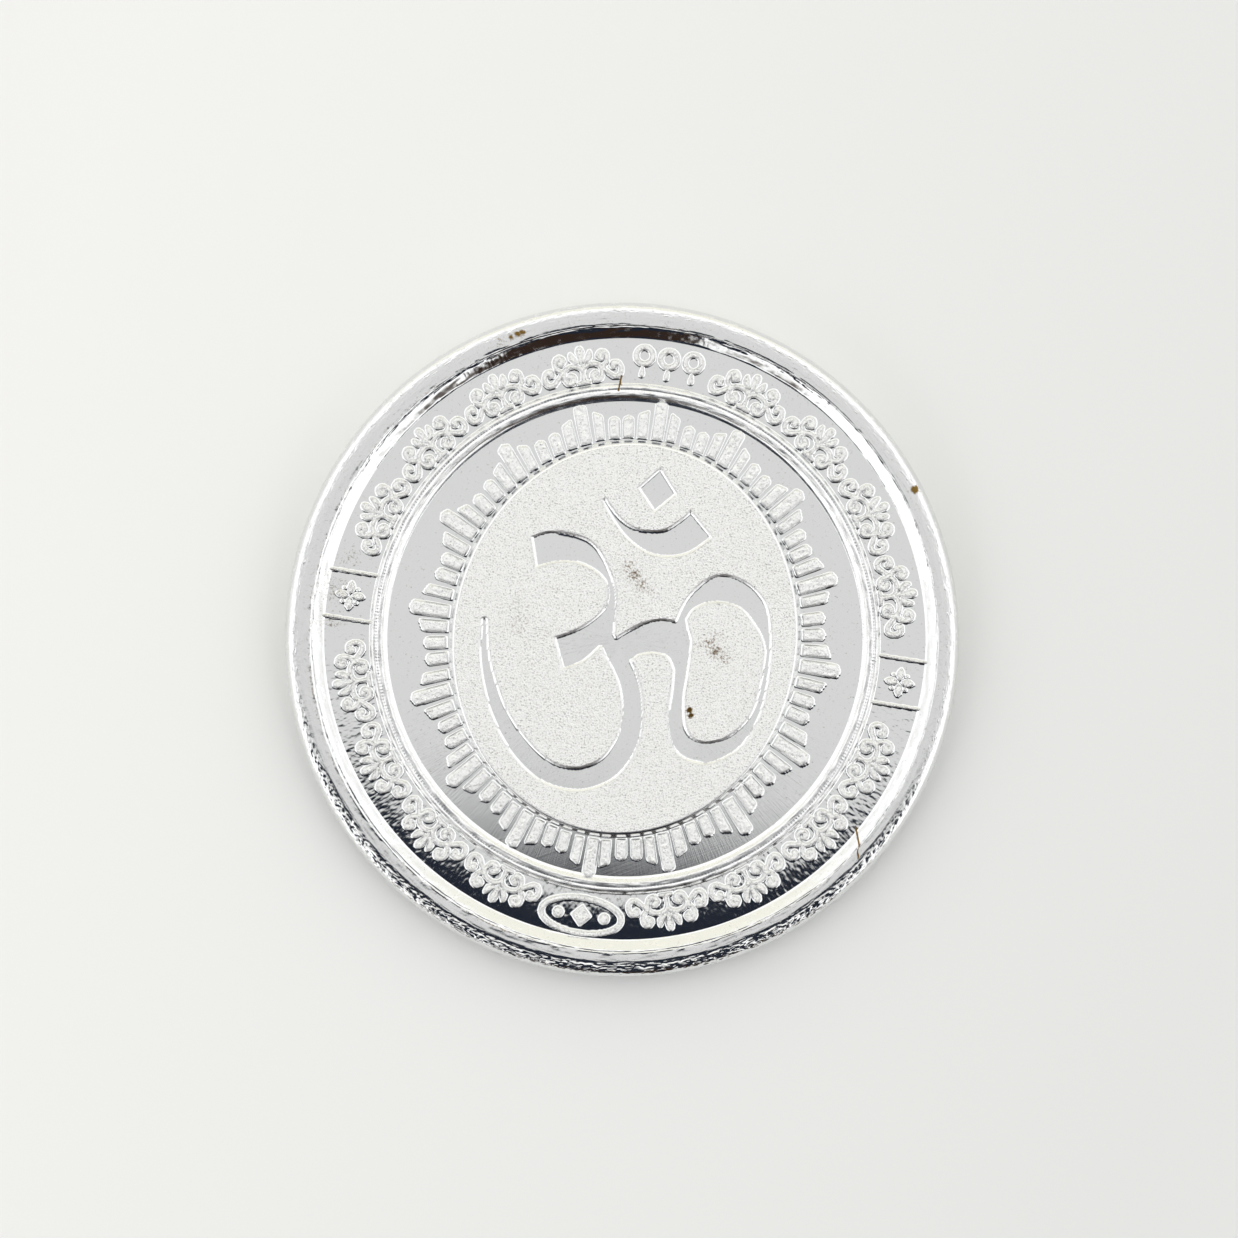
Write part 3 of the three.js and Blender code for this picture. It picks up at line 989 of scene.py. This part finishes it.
    def build(self) -> bpy.types.Object:
        """Makes the band.

        The height over a place is a function of the distance round the band and outwards. The
        columns are shared out evenly among the places, so each emblem is worked out once and
        laid down wherever it stands. The field is crowned: a parabola across the band.
        """
        sizes = self.sizes
        low, high = sizes.ring_outer - sizes.tuck, sizes.field_radius + sizes.tuck
        radius = np.linspace(low, high, self.rows)[:, None]
        step = 2 * math.pi / (self.places * self.per_place)
        local = (np.arange(self.per_place) - self.per_place // 2) * step
        u = radius * np.sin(local)
        v = radius * np.cos(local) - sizes.ring_outer - self.foot
        drawn = {kind: self.emblem(kind, u, v) for kind in Emblem}
        relief = np.concatenate(
            [drawn[self._emblem_at(place)] for place in range(self.places)], axis=1
        )
        shape = relief.shape
        angle = np.arange(shape[1]) * step + local[0]
        across = (radius - sizes.ring_outer) / sizes.border * 2 - 1
        uneven = unevenness(shape, (1, 1), 21)
        worn = relief * (1 - 0.12 * np.abs(unevenness(shape, (5, 7), 23)))
        height = (
            sizes.field
            + sizes.crown * (1 - np.clip(across, -1, 1) ** 2)
            + self.rise * worn
            + 0.002 * uneven * soft_step(relief, 0.3, 0.8)
            + self.ruffle * unevenness(shape, (4, 2), 25)
        )
        frost = soft_step(relief, 0.2, 0.7)
        tarnish = self.tarnish(radius * np.sin(angle), radius * np.cos(angle))
        values = {"frost": frost, "tarnish": tarnish}
        name = "scroll_border" if self.side is Side.OBVERSE else "reverse_beads"
        return self.turned_body(name, np.broadcast_to(radius, shape), angle, height, values)


# ---------------------------------------------------------------- the bead ring


@dataclass
class BeadRing(Zone):
    """The double line between the border and the middle of a face.

    Attributes:
        profile: Across the ring from inside: the share of its width, and the height in mm.
        columns: Grid columns round the coin.
        steps: Grid rows to each span of the profile.
        groove: The middle of the groove between the two lines, as a share of the width.
        dots: How many dots lie in the groove.
        dot_depth: Their depth, in mm.
    """

    profile: tuple[Point, ...] = (
        (-0.05, -0.05), (0.0, 0.0), (0.05, 0.012), (0.13, 0.03), (0.22, 0.075), (0.32, 0.14),
        (0.4, 0.15), (0.52, 0.148), (0.6, 0.133), (0.67, 0.142), (0.77, 0.14), (0.85, 0.1),
        (0.95, 0.02), (1.0, 0.0), (1.05, -0.05),
    )
    columns: int = 1440
    steps: int = 3
    groove: float = 0.6
    dots: int = 480
    dot_depth: float = 0.02

    def build(self) -> bpy.types.Object:
        """Makes the ring: the profile carried round a circle, with dots along its groove.

        A dot is a dip whose depth follows a cosine round the ring and a bell curve across it.
        """
        sizes = self.sizes
        line = smooth_line(self.profile, self.steps)
        radius = (sizes.ring_inner + line[:, 0] * sizes.ring)[:, None]
        angle = np.arange(self.columns) * (2 * math.pi / self.columns)
        shape = (len(line), self.columns)
        groove = np.exp(-(((line[:, 0] - self.groove) / 0.09) ** 2))[:, None]
        dots = np.clip(np.cos(angle * self.dots), 0, 1)[None, :]
        uneven = unevenness(shape, (3, 9), 31)
        height = sizes.field + line[:, 1:] - self.dot_depth * groove * dots * (1 + 0.4 * uneven)
        height = height + 0.003 * uneven * soft_step(line[:, 1:], 0.02, 0.1)
        frost = 0.28 + 0.2 * soft_step(line[:, 1:], 0.1, 0.14) + 0.05 * uneven
        tarnish = self.tarnish(radius * np.sin(angle), radius * np.cos(angle))
        values = {"frost": frost, "tarnish": tarnish}
        name = f"{self.side.value}_bead_ring"
        return self.turned_body(name, np.broadcast_to(radius, shape), angle, height, values)


# ---------------------------------------------------------------- the sunburst


@dataclass
class Sunburst(Zone):
    """The bars round the medallion, and the field that they stand on.

    Attributes:
        order: The kinds of bar in one group, clockwise.
        groups: How many groups go round.
        lengths: Each kind's length, in mm.
        shares: Each kind's width, as a share of the room that a bar has.
        gap: From the medallion to the bars' feet, in mm.
        slant: How much higher the tall side of a slanted top is, in mm.
        corner: The radius of the corners between a bar's top and its sides, in mm.
        rise: The bars' height, in mm.
        wall: The width over which a bar's edge rises, in mm.
        stray: How far a bar stands from its own place, in mm.
        columns: Grid columns round the medallion.
        rows: Grid rows from the medallion to the ring.
    """

    order: tuple[Bar, ...] = (Bar.LONG, Bar.FALLING, Bar.SHORT, Bar.SHORT, Bar.RISING)
    groups: int = 16
    lengths: Mapping[Bar, float] = field(
        default_factory=lambda: dict(zip(Bar, (1.77, 1.27, 0.98, 1.27)))
    )
    shares: Mapping[Bar, float] = field(
        default_factory=lambda: dict(zip(Bar, (0.84, 0.66, 0.76, 0.74)))
    )
    gap: float = 0.08
    slant: float = 0.2
    corner: float = 0.1
    rise: float = 0.15
    wall: float = 0.1
    stray: float = 0.028
    columns: int = 1920
    rows: int = 48

    def _bar(self, kind: Bar, half: Array, u: Array, v: Array) -> Array:
        """Signed distance to a bar, negative inside.

        The largest of the distances to its sides, its foot and its top. The top of a long or
        short bar falls off on both sides, and that of the others leans towards the long bar.
        """
        lean = np.abs(u) * 0.45
        if kind is Bar.FALLING:
            lean = (u / half + 1) * self.slant / 2
        if kind is Bar.RISING:
            lean = (1 - u / half) * self.slant / 2
        sides = np.abs(u) - half * (1 + 0.05 * v)
        top = v - self.lengths[kind] + lean
        past_side, past_top = sides + self.corner, top + self.corner
        outside = np.hypot(np.maximum(past_side, 0), np.maximum(past_top, 0)) - self.corner
        inside = np.minimum(np.maximum(sides, top) + self.corner, 0)
        return np.maximum(outside + inside, -v)

    def relief(self, x: Array, y: Array, turn: Array) -> Array:
        """The height of the bars, from 0 to 1.

        Bars stand at even steps of the ellipse's own angle. A point is measured against the bar
        nearest to it, in that bar's frame: u across it and v along it, away from the centre.

        Args:
            x: The points' first coordinates.
            y: Their second coordinates.
            turn: The ellipse's own angle at each point.

        Returns:
            The heights.
        """
        wide = self.sizes.medallion_wide + self.gap
        high = self.sizes.medallion_high + self.gap
        step = 2 * math.pi / (self.groups * len(self.order))
        result = np.full(x.shape, np.inf)
        near = np.round(turn / step).astype(int)
        stray = np.random.default_rng(47).normal(size=(2, self.groups * len(self.order)))
        for shift in (-1, 0, 1):
            bar = near + shift
            foot_x, foot_y = wide * np.sin(bar * step), high * np.cos(bar * step)
            reach = np.hypot(foot_x, foot_y)
            ahead_x, ahead_y = foot_x / reach, foot_y / reach
            u = (x - foot_x) * ahead_y - (y - foot_y) * ahead_x
            v = (x - foot_x) * ahead_x + (y - foot_y) * ahead_y
            room = step * np.hypot(wide * np.cos(bar * step), high * np.sin(bar * step))
            u = u + self.stray * np.take(stray[0], bar, mode="wrap")
            v = v + self.stray * np.take(stray[1], bar, mode="wrap")
            for index, kind in enumerate(self.order):
                half = room * self.shares[kind] / 2
                chosen = bar % len(self.order) == index
                away = self._bar(kind, half, u, v)
                result = np.where(chosen, np.minimum(result, away), result)
        return crowned(result, self.wall)

    def build(self) -> bpy.types.Object:
        """Makes the zone: a grid of the ellipse's own angle by the share of the way out.

        A row runs from the medallion's ellipse to the ring's circle in a straight line, so its
        points are the two ends' weighted mean.
        """
        sizes = self.sizes
        turn = np.arange(self.columns) * (2 * math.pi / self.columns)
        share = np.linspace(0, 1, self.rows)[:, None]
        inner_x = (sizes.medallion_wide - sizes.tuck) * np.sin(turn)
        inner_y = (sizes.medallion_high - sizes.tuck) * np.cos(turn)
        bearing = np.arctan2(inner_x, inner_y)
        outer = sizes.ring_inner + sizes.tuck
        x = inner_x * (1 - share) + outer * np.sin(bearing) * share
        y = inner_y * (1 - share) + outer * np.cos(bearing) * share
        radius = np.hypot(x, y)
        relief = self.relief(x, y, np.broadcast_to(turn, x.shape))
        shape = relief.shape
        worn = relief * (1 - 0.08 * np.abs(unevenness(shape, (4, 6), 41)))
        rough = 0.002 * unevenness(shape, (1, 1), 43) * soft_step(relief, 0.4, 0.9)
        height = sizes.field + self.rise * worn + rough
        frost = 0.02 + 0.84 * soft_step(relief, 0.2, 0.7)
        values = {"frost": frost, "tarnish": self.tarnish(x, y)}
        return self.turned_body("sunburst", radius, bearing, height, values)


# ---------------------------------------------------------------- discs: medallion and lotus


def disc_grid(count: int) -> tuple[Array, Array]:
    """A square grid laid on a disc of radius 1, with faces of even size.

    The square's rings become circles: the larger of the two coordinates is the radius, and the
    ratio of the two is the angle within that side's quarter turn.

    Args:
        count: Points to a side, an even number.

    Returns:
        The points' x and y.
    """
    side = np.linspace(-1, 1, count)
    across, up = np.meshgrid(side, side)
    flat = np.abs(across) > np.abs(up)
    radius = np.where(flat, across, up)
    ratio = np.where(flat, up, across) / radius
    angle = np.where(flat, ratio * math.pi / 4, math.pi / 2 - ratio * math.pi / 4)
    return radius * np.cos(angle), radius * np.sin(angle)


@dataclass
class Medallion(Zone):
    """The oval plate with the Om sign sunk into it.

    Attributes:
        count: Grid points to a side.
        wall: The width of the plate's wall, in mm.
        skirt: Points down the wall: the share of its width, and the share of the plate's rise.
        depth: The sign's depth, in mm.
        slope: The width of the sign's walls, in mm.
        catch: How far beside a wall a grid point is still moved onto it, in mm.
        wall_frost: How frosted the sign's walls and the plate's wall are.
        floor_frost: How frosted the sign's floor is.
    """

    count: int = 294
    wall: float = 0.22
    skirt: tuple[Point, ...] = ((0.1, 0.03), (0.25, 0.17), (0.5, 0.49), (0.75, 0.8), (1.0, 1.02))
    depth: float = 0.115
    slope: float = 0.085
    catch: float = 0.018
    wall_frost: float = 0.2
    floor_frost: float = 0.02

    def _drop(self) -> list[Array]:
        """The lozenge at the top of the sign."""
        return [np.array([(0.38, 7.75), (1.3, 6.7), (0.42, 5.72), (-0.5, 6.69)])]

    def _crescent(self) -> list[Array]:
        """The crescent below it, from its thin left tip to its square right end."""
        lower = [(-2.0, 5.9), (-1.42, 5.16), (-0.68, 4.43), (0.29, 3.92), (1.27, 3.85),
                 (2.25, 4.19), (3.16, 5.04)]
        upper = [(2.0, 6.08), (1.64, 5.65), (0.9, 5.04), (-0.2, 4.92), (-1.05, 5.29),
                 (-1.84, 6.06)]
        return [np.vstack([smooth_line(lower, 5), smooth_line(upper, 5)])]

    def _upper_bowl(self) -> list[Array]:
        """The upper bowl, with square ends at its start and at its tongue."""
        outer = [(-4.84, 3.82), (-4.1, 4.19), (-3.25, 4.25), (-2.39, 4.13), (-1.78, 3.76),
                 (-1.17, 2.97), (-0.68, 1.99), (-0.54, 1.01), (-0.5, 0.04), (-0.99, -0.51),
                 (-1.66, -1.31), (-2.52, -1.79)]
        inner = [(-3.13, -0.43), (-2.27, 0.04), (-1.66, 0.53), (-1.17, 1.14), (-1.05, 1.75),
                 (-1.29, 2.36), (-1.9, 2.78), (-2.76, 2.97), (-3.61, 2.84), (-4.41, 2.48)]
        return [np.vstack([smooth_line(outer, 5), smooth_line(inner, 5)])]

    def _lower_bowl(self) -> list[Sequence[float]]:
        """The lower bowl, as a pen stroke: x, y and half width."""
        return [
            (-6.28, -0.18, 0.17), (-6.0, -1.79, 0.25), (-5.32, -3.5, 0.35), (-4.59, -4.66, 0.42),
            (-3.61, -5.7, 0.5), (-2.64, -6.31, 0.52), (-1.66, -6.52, 0.53), (-0.68, -6.35, 0.55),
            (0.29, -5.64, 0.55), (0.84, -4.36, 0.53), (0.84, -3.14, 0.5), (0.54, -2.04, 0.48),
            (0.05, -1.18, 0.48), (-0.5, -0.51, 0.45), (-0.85, 0.0, 0.36),
        ]

    def _arm(self) -> list[Array]:
        """The arm, its stem and its loop, with the island inside the loop."""
        upper = [(-0.44, -0.02), (0.29, 0.59), (0.9, 0.95), (1.51, 1.14), (2.06, 1.14)]
        loop = [(2.06, 1.14), (2.31, 1.99), (2.74, 2.72), (3.35, 3.33), (4.08, 3.52),
                (4.93, 3.33), (5.57, 2.93), (6.09, 2.27), (6.44, 1.03), (6.59, -0.21),
                (6.57, -1.79), (6.35, -2.92), (5.91, -3.87), (5.3, -4.48), (4.57, -4.91),
                (3.96, -4.97), (3.35, -4.85), (2.86, -4.48), (2.55, -3.87), (2.37, -3.02),
                (2.37, -2.04), (2.31, -1.06)]
        lower = [(2.31, -1.06), (2.0, -0.57), (1.51, -0.45), (0.9, -0.57), (0.35, -0.96)]
        root = [(-0.1, -1.0), (-0.7, -0.4)]
        island = [(2.61, 1.26), (2.86, 1.75), (3.47, 2.14), (4.2, 2.23), (4.93, 2.05),
                  (5.54, 1.5), (5.97, 0.95), (6.21, 0.28), (6.21, -0.82), (6.09, -2.16),
                  (5.67, -3.02), (5.05, -3.63), (4.32, -3.93), (3.71, -3.87), (3.35, -3.5),
                  (3.16, -2.89), (3.04, -2.04), (3.04, -1.06), (2.98, 0.28), (2.74, 0.89),
                  (2.61, 1.26)]
        lines = [smooth_line(line, 5) for line in (upper, loop, lower)]
        body = np.vstack([*lines, root])
        return [body, smooth_line(island, 5)[:-1]]

    def sign(self, x: Array, y: Array) -> Array:
        """Signed distance to the Om sign, negative inside: the nearest of its parts."""
        parts = [self._drop(), self._crescent(), self._upper_bowl(), self._arm()]
        distances = [outline(x, y, loops) for loops in parts]
        distances.append(stroke(x, y, self._lower_bowl(), 5))
        return np.minimum.reduce(distances)

    def _fitted(self, x: Array, y: Array) -> tuple[Array, Array, Array]:
        """Moves grid points onto the two edges of the sign's walls, to keep the edges crisp.

        A point on the wall, or just beside it, moves along the distance's gradient to the wall's
        top edge or its foot, whichever is nearer.

        Args:
            x: The points' first coordinates.
            y: Their second coordinates.

        Returns:
            The new coordinates, and how far inside the sign's outline each point then is.
        """
        probe = 0.004
        inside = -self.sign(x, y)
        uphill_x = (-self.sign(x + probe, y) - inside) / probe
        uphill_y = (-self.sign(x, y + probe) - inside) / probe
        level = np.where(inside > self.slope / 2, self.slope, 0.0)
        near = np.abs(inside - self.slope / 2) < self.slope / 2 + self.catch
        push = np.where(near, level - inside, 0.0)
        return x + push * uphill_x, y + push * uphill_y, inside + push

    def build(self) -> bpy.types.Object:
        """Makes the plate.

        The height is the plate's, less the sign's depth times a soft step of the distance inside
        the sign's outline. The plate is frosted, the walls hardly, and the sign's floor is a
        mirror. The grid's outermost points are the top of the plate's wall.
        """
        sizes = self.sizes
        x, y = disc_grid(self.count)
        x = x * (sizes.medallion_wide - self.wall)
        y = y * (sizes.medallion_high - self.wall)
        x, y, inside = self._fitted(x, y)
        sunk = soft_step(inside, 0.0, self.slope)
        shape = x.shape
        top = sizes.field + sizes.medallion_rise
        rough = 0.0015 * unevenness(shape, (1, 1), 51) * (1 - sunk)
        height = top - self.depth * sunk + rough
        frost = 1 - (1 - self.wall_frost) * soft_step(inside, -0.02, 0.02)
        polish = self.wall_frost - self.floor_frost
        frost -= polish * soft_step(inside, self.slope, self.slope + 0.03)
        frost[[0, -1], :] = self.wall_frost
        frost[:, [0, -1]] = self.wall_frost
        skirt = [
            (far * self.wall, top - drop * sizes.medallion_rise) for far, drop in self.skirt
        ]
        skirt += [(self.wall, sizes.middle)]
        values = {"frost": frost, "tarnish": self.tarnish(x, y)}
        return self.disc_body("medallion", x, y, height, values, skirt)


@dataclass
class Lotus(Zone):
    """The reverse's middle: a lotus rosette on a polished field.

    Attributes:
        petals: Petals in each of the two rows.
        count: Grid points to a side.
        rise: The relief's height, in mm.
        reach: How far the outer petals' tips are from the centre, in mm.
        seeds: Seeds round the pod.
    """

    petals: int = 8
    count: int = 240
    rise: float = 0.15
    reach: float = 8.5
    seeds: int = 8

    def _petal_row(
        self, radius: Array, angle: Array, start: float, end: float, turn: float
    ) -> Array:
        """One row of petals, as heights from 0 to 1.

        A petal is a stroke that swells and comes to a point. Angles are folded into the one
        petal that the point is nearest to. A vein is pressed along its middle.
        """
        pitch = 2 * math.pi / self.petals
        local = (angle - turn + pitch / 2) % pitch - pitch / 2
        u, v = radius * np.sin(local), radius * np.cos(local)
        span = end - start
        widest = 0.2 * self.reach
        line = [(0.0, start, 0.25 * widest), (0.0, start + 0.3 * span, 0.78 * widest),
                (0.0, start + 0.58 * span, widest * 0.92), (0.0, start + 0.82 * span, 0.4 * widest),
                (0.0, end, 0.02)]
        shape = stroke(u, v, line, 8)
        vein = 0.2 * np.exp(-((u / 0.09) ** 2)) * soft_step(-shape, 0.1, 0.4)
        return crowned(shape, 0.9) * (1 - vein)

    def build(self) -> bpy.types.Object:
        """Makes the disc, with the inner row of petals laid over the outer one."""
        sizes = self.sizes
        x, y = disc_grid(self.count)
        edge = sizes.ring_inner + sizes.tuck
        x, y = x * edge, y * edge
        radius, angle = np.hypot(x, y), np.arctan2(x, y)
        half = math.pi / self.petals
        back = self._petal_row(radius, angle, 3.2, self.reach, half) * 0.7
        front = self._petal_row(radius, angle, 1.4, self.reach * 0.74, 0.0)
        pod = crowned(radius - 1.75, 0.35)
        pitch = 2 * math.pi / self.seeds
        local = (angle + pitch / 2) % pitch - pitch / 2
        seed = crowned(np.hypot(radius * np.sin(local), radius * np.cos(local) - 1.1) - 0.2, 0.15)
        centre = crowned(radius - 0.25, 0.2)
        relief = np.where(front > 0.02, 0.15 + 0.85 * front, back)
        relief = np.where(pod > 0, 0.35 + 0.65 * pod - 0.3 * np.maximum(seed, centre), relief)
        rough = 0.002 * unevenness(x.shape, (1, 1), 61) * soft_step(relief, 0.1, 0.4)
        height = sizes.field + self.rise * relief + rough
        frost = 0.04 + 0.8 * soft_step(relief, 0.02, 0.25)
        values = {"frost": frost, "tarnish": self.tarnish(x, y)}
        return self.disc_body("reverse_lotus", x, y, height, values, [(0.0, sizes.middle)])


# ---------------------------------------------------------------- the studio


@dataclass(frozen=True)
class Patch:
    """A round patch of the light dome.

    Attributes:
        bearing: Its direction in the picture, in degrees clockwise from the top.
        tilt: How far its middle is off the zenith, in degrees.
        reach: Its angular radius, in degrees.
        soft: Half the width of its edge, in degrees.
        colour: Its colour.
        strength: Its brightness.
    """

    bearing: float
    tilt: float
    reach: float
    soft: float
    colour: str
    strength: float


@dataclass
class Studio:
    """Paper, light and camera.

    The light is a pale dome with a soft box low on the left and one on the right. Between them a
    person on the near side leans over the coin, dark from just off the zenith down to the horizon:
    polished metal that leans to the near side mirrors that.

    Attributes:
        sizes: The coin's sizes.
        roll: How far the design is turned clockwise in the picture, in degrees.
        distance: From the camera to the coin's face, in metres.
        frame_width: How wide the picture is at the coin's face, in mm.
        aim: The picture's centre from the coin's centre, in mm, right and up in the picture.
        sensor: The camera's sensor width, in mm.
        paper_radius: The paper's radius, in metres.
        patches: The dome's patches. Each lies over the ones before it.
    """

    sizes: CoinSizes
    roll: float = 9.0
    distance: float = 0.18
    frame_width: float = 54.86
    aim: Point = (-0.135, 0.913)
    sensor: float = 36.0
    paper_radius: float = 3.0
    patches: tuple[Patch, ...] = (
        # The dome: low down, half way up, higher up, and overhead.
        Patch(0.0, 0.0, 179.0, 1.0, "#FFFFFC", 1.02),
        Patch(0.0, 0.0, 66.0, 12.0, "#FEFEFF", 1.31),
        Patch(0.0, 0.0, 36.0, 8.0, "#FEFEFE", 1.38),
        Patch(0.0, 0.0, 15.0, 8.0, "#FEFEFD", 0.82),
        # A warmer wall beyond the coin.
        Patch(0.0, 80.0, 38.0, 16.0, "#FFFDF0", 1.08),
        # The two soft boxes.
        Patch(237.0, 60.0, 19.0, 4.0, "#FFFFFF", 1.5),
        Patch(117.0, 58.0, 14.5, 4.0, "#FFFFFF", 1.45),
        # A person leaning over the coin: shoulders, head and camera.
        Patch(158.0, 93.0, 28.0, 5.0, "#8C8480", 0.55),
        Patch(204.0, 96.0, 25.0, 5.0, "#8C8480", 0.55),
        Patch(173.0, 67.0, 20.0, 2.5, "#8A6E60", 0.14),
        Patch(185.0, 31.0, 27.9, 0.6, "#8090B0", 0.08),
    )

    @property
    def right(self) -> Vector:
        """The picture's right, in the coin's frame."""
        return Vector((math.cos(math.radians(self.roll)), math.sin(math.radians(self.roll)), 0))

    @property
    def up(self) -> Vector:
        """The picture's up, in the coin's frame."""
        return Vector((-math.sin(math.radians(self.roll)), math.cos(math.radians(self.roll)), 0))

    def camera(self) -> None:
        """Sets the camera straight above the coin."""
        data = bpy.data.cameras.new("studio_camera")
        data.sensor_width = self.sensor
        data.lens = self.sensor * self.distance / (self.frame_width * MM)
        data.clip_start = 0.005
        camera = bpy.data.objects.new("studio_camera", data)
        bpy.context.scene.collection.objects.link(camera)
        back = Vector((0, 0, 1))
        turn = Matrix((self.right, self.up, back)).transposed()
        centre = (self.right * self.aim[0] + self.up * self.aim[1]) * MM
        centre.z = self.sizes.thickness * MM + self.distance
        camera.matrix_world = Matrix.Translation(centre) @ turn.to_4x4()
        bpy.context.scene.camera = camera

    def paper(self) -> None:
        """Lays the paper: a disc whose rings grow quickly outwards."""
        rings, columns = 24, 96
        radius = self.paper_radius * np.linspace(0.01, 1, rings)[:, None] ** 2
        angle = np.arange(columns) * (2 * math.pi / columns)
        points = polar(radius, angle[None, :], np.zeros((rings, columns)))
        faces = grid_quads(rings, columns, False, True).tolist() + [list(range(columns))[::-1]]
        mesh = bpy.data.meshes.new("paper")
        mesh.from_pydata(points.reshape(-1, 3), [], faces)
        mesh.materials.append(Paper().build())
        paper = bpy.data.objects.new("paper", mesh)
        bpy.context.scene.collection.objects.link(paper)

    def _heading(self, patch: Patch) -> Vector:
        """The direction of a patch of the dome, in the coin's frame."""
        bearing, tilt = math.radians(patch.bearing), math.radians(patch.tilt)
        level = self.up * math.cos(bearing) + self.right * math.sin(bearing)
        return level * math.sin(tilt) + Vector((0, 0, math.cos(tilt)))

    def light(self) -> None:
        """Makes the dome, as the world's own light.

        Each patch is laid over the ones before it, where the angle between the patch's direction
        and the ray is less than the patch's reach. The first one is the whole dome.
        """
        world = bpy.data.worlds.new("studio_dome")
        bpy.context.scene.world = world
        tree = empty_tree(world)
        ray = add_node(tree, "TexCoord").outputs["Generated"]
        dome: Socket | None = None
        for patch in self.patches:
            towards = {"operation": "DOT_PRODUCT", 1: self._heading(patch)}
            nearness = add_node(tree, "VectorMath", towards, {0: ray}).outputs["Value"]
            low, high = (math.cos(math.radians(patch.reach + way * patch.soft)) for way in (1, -1))
            smooth = {"interpolation_type": "SMOOTHSTEP", "From Min": low, "From Max": high}
            mask = add_node(tree, "MapRange", smooth, {"Value": nearness}).outputs[0]
            light = [channel * patch.strength for channel in linear(patch.colour)[:3]] + [1.0]
            settings = {"data_type": "RGBA", "clamp_factor": True, 6: light, 7: light}
            links = {"Factor": mask} if dome is None else {"Factor": mask, 6: dome}
            dome = add_node(tree, "Mix", settings, links).outputs[2]
        background = add_node(tree, "Background", None, {"Color": dome})
        add_node(tree, "OutputWorld", None, {"Surface": background.outputs[0]})

    def picture(self) -> None:
        """Shows colours as they are, with no film look."""
        settings = bpy.context.scene.view_settings
        settings.view_transform = "Standard"
        settings.look = "None"
        settings.exposure = 0.0

    def build(self) -> None:
        """Sets everything up."""
        self.camera()
        self.paper()
        self.light()
        self.picture()


# ---------------------------------------------------------------- the whole


def main() -> None:
    """Builds the coin zone by zone, dresses it and lights it."""
    logging.basicConfig(level=logging.INFO, format="%(message)s")
    low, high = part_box(NODE)
    sizes = CoinSizes(radius=(high.x - low.x) / 2 / MM, thickness=high.z / MM)
    Studio(sizes).build()
    rim = Rim(sizes, Side.OBVERSE).build()
    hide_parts(NODE)
    pieces = [
        rim,
        Rim(sizes, Side.REVERSE).build(),
        ScrollBorder(sizes, Side.OBVERSE).build(),
        BeadRing(sizes, Side.OBVERSE).build(),
        Sunburst(sizes).build(),
        Medallion(sizes).build(),
        ScrollBorder(sizes, Side.REVERSE).build(),
        BeadRing(sizes, Side.REVERSE).build(),
        Lotus(sizes, Side.REVERSE).build(),
    ]
    silver = StruckSilver().build()
    for piece in pieces:
        piece.data.materials.append(silver)
        log.info("%s dressed in %s", piece.name, silver.name)


if __name__ == "__main__":
    main()
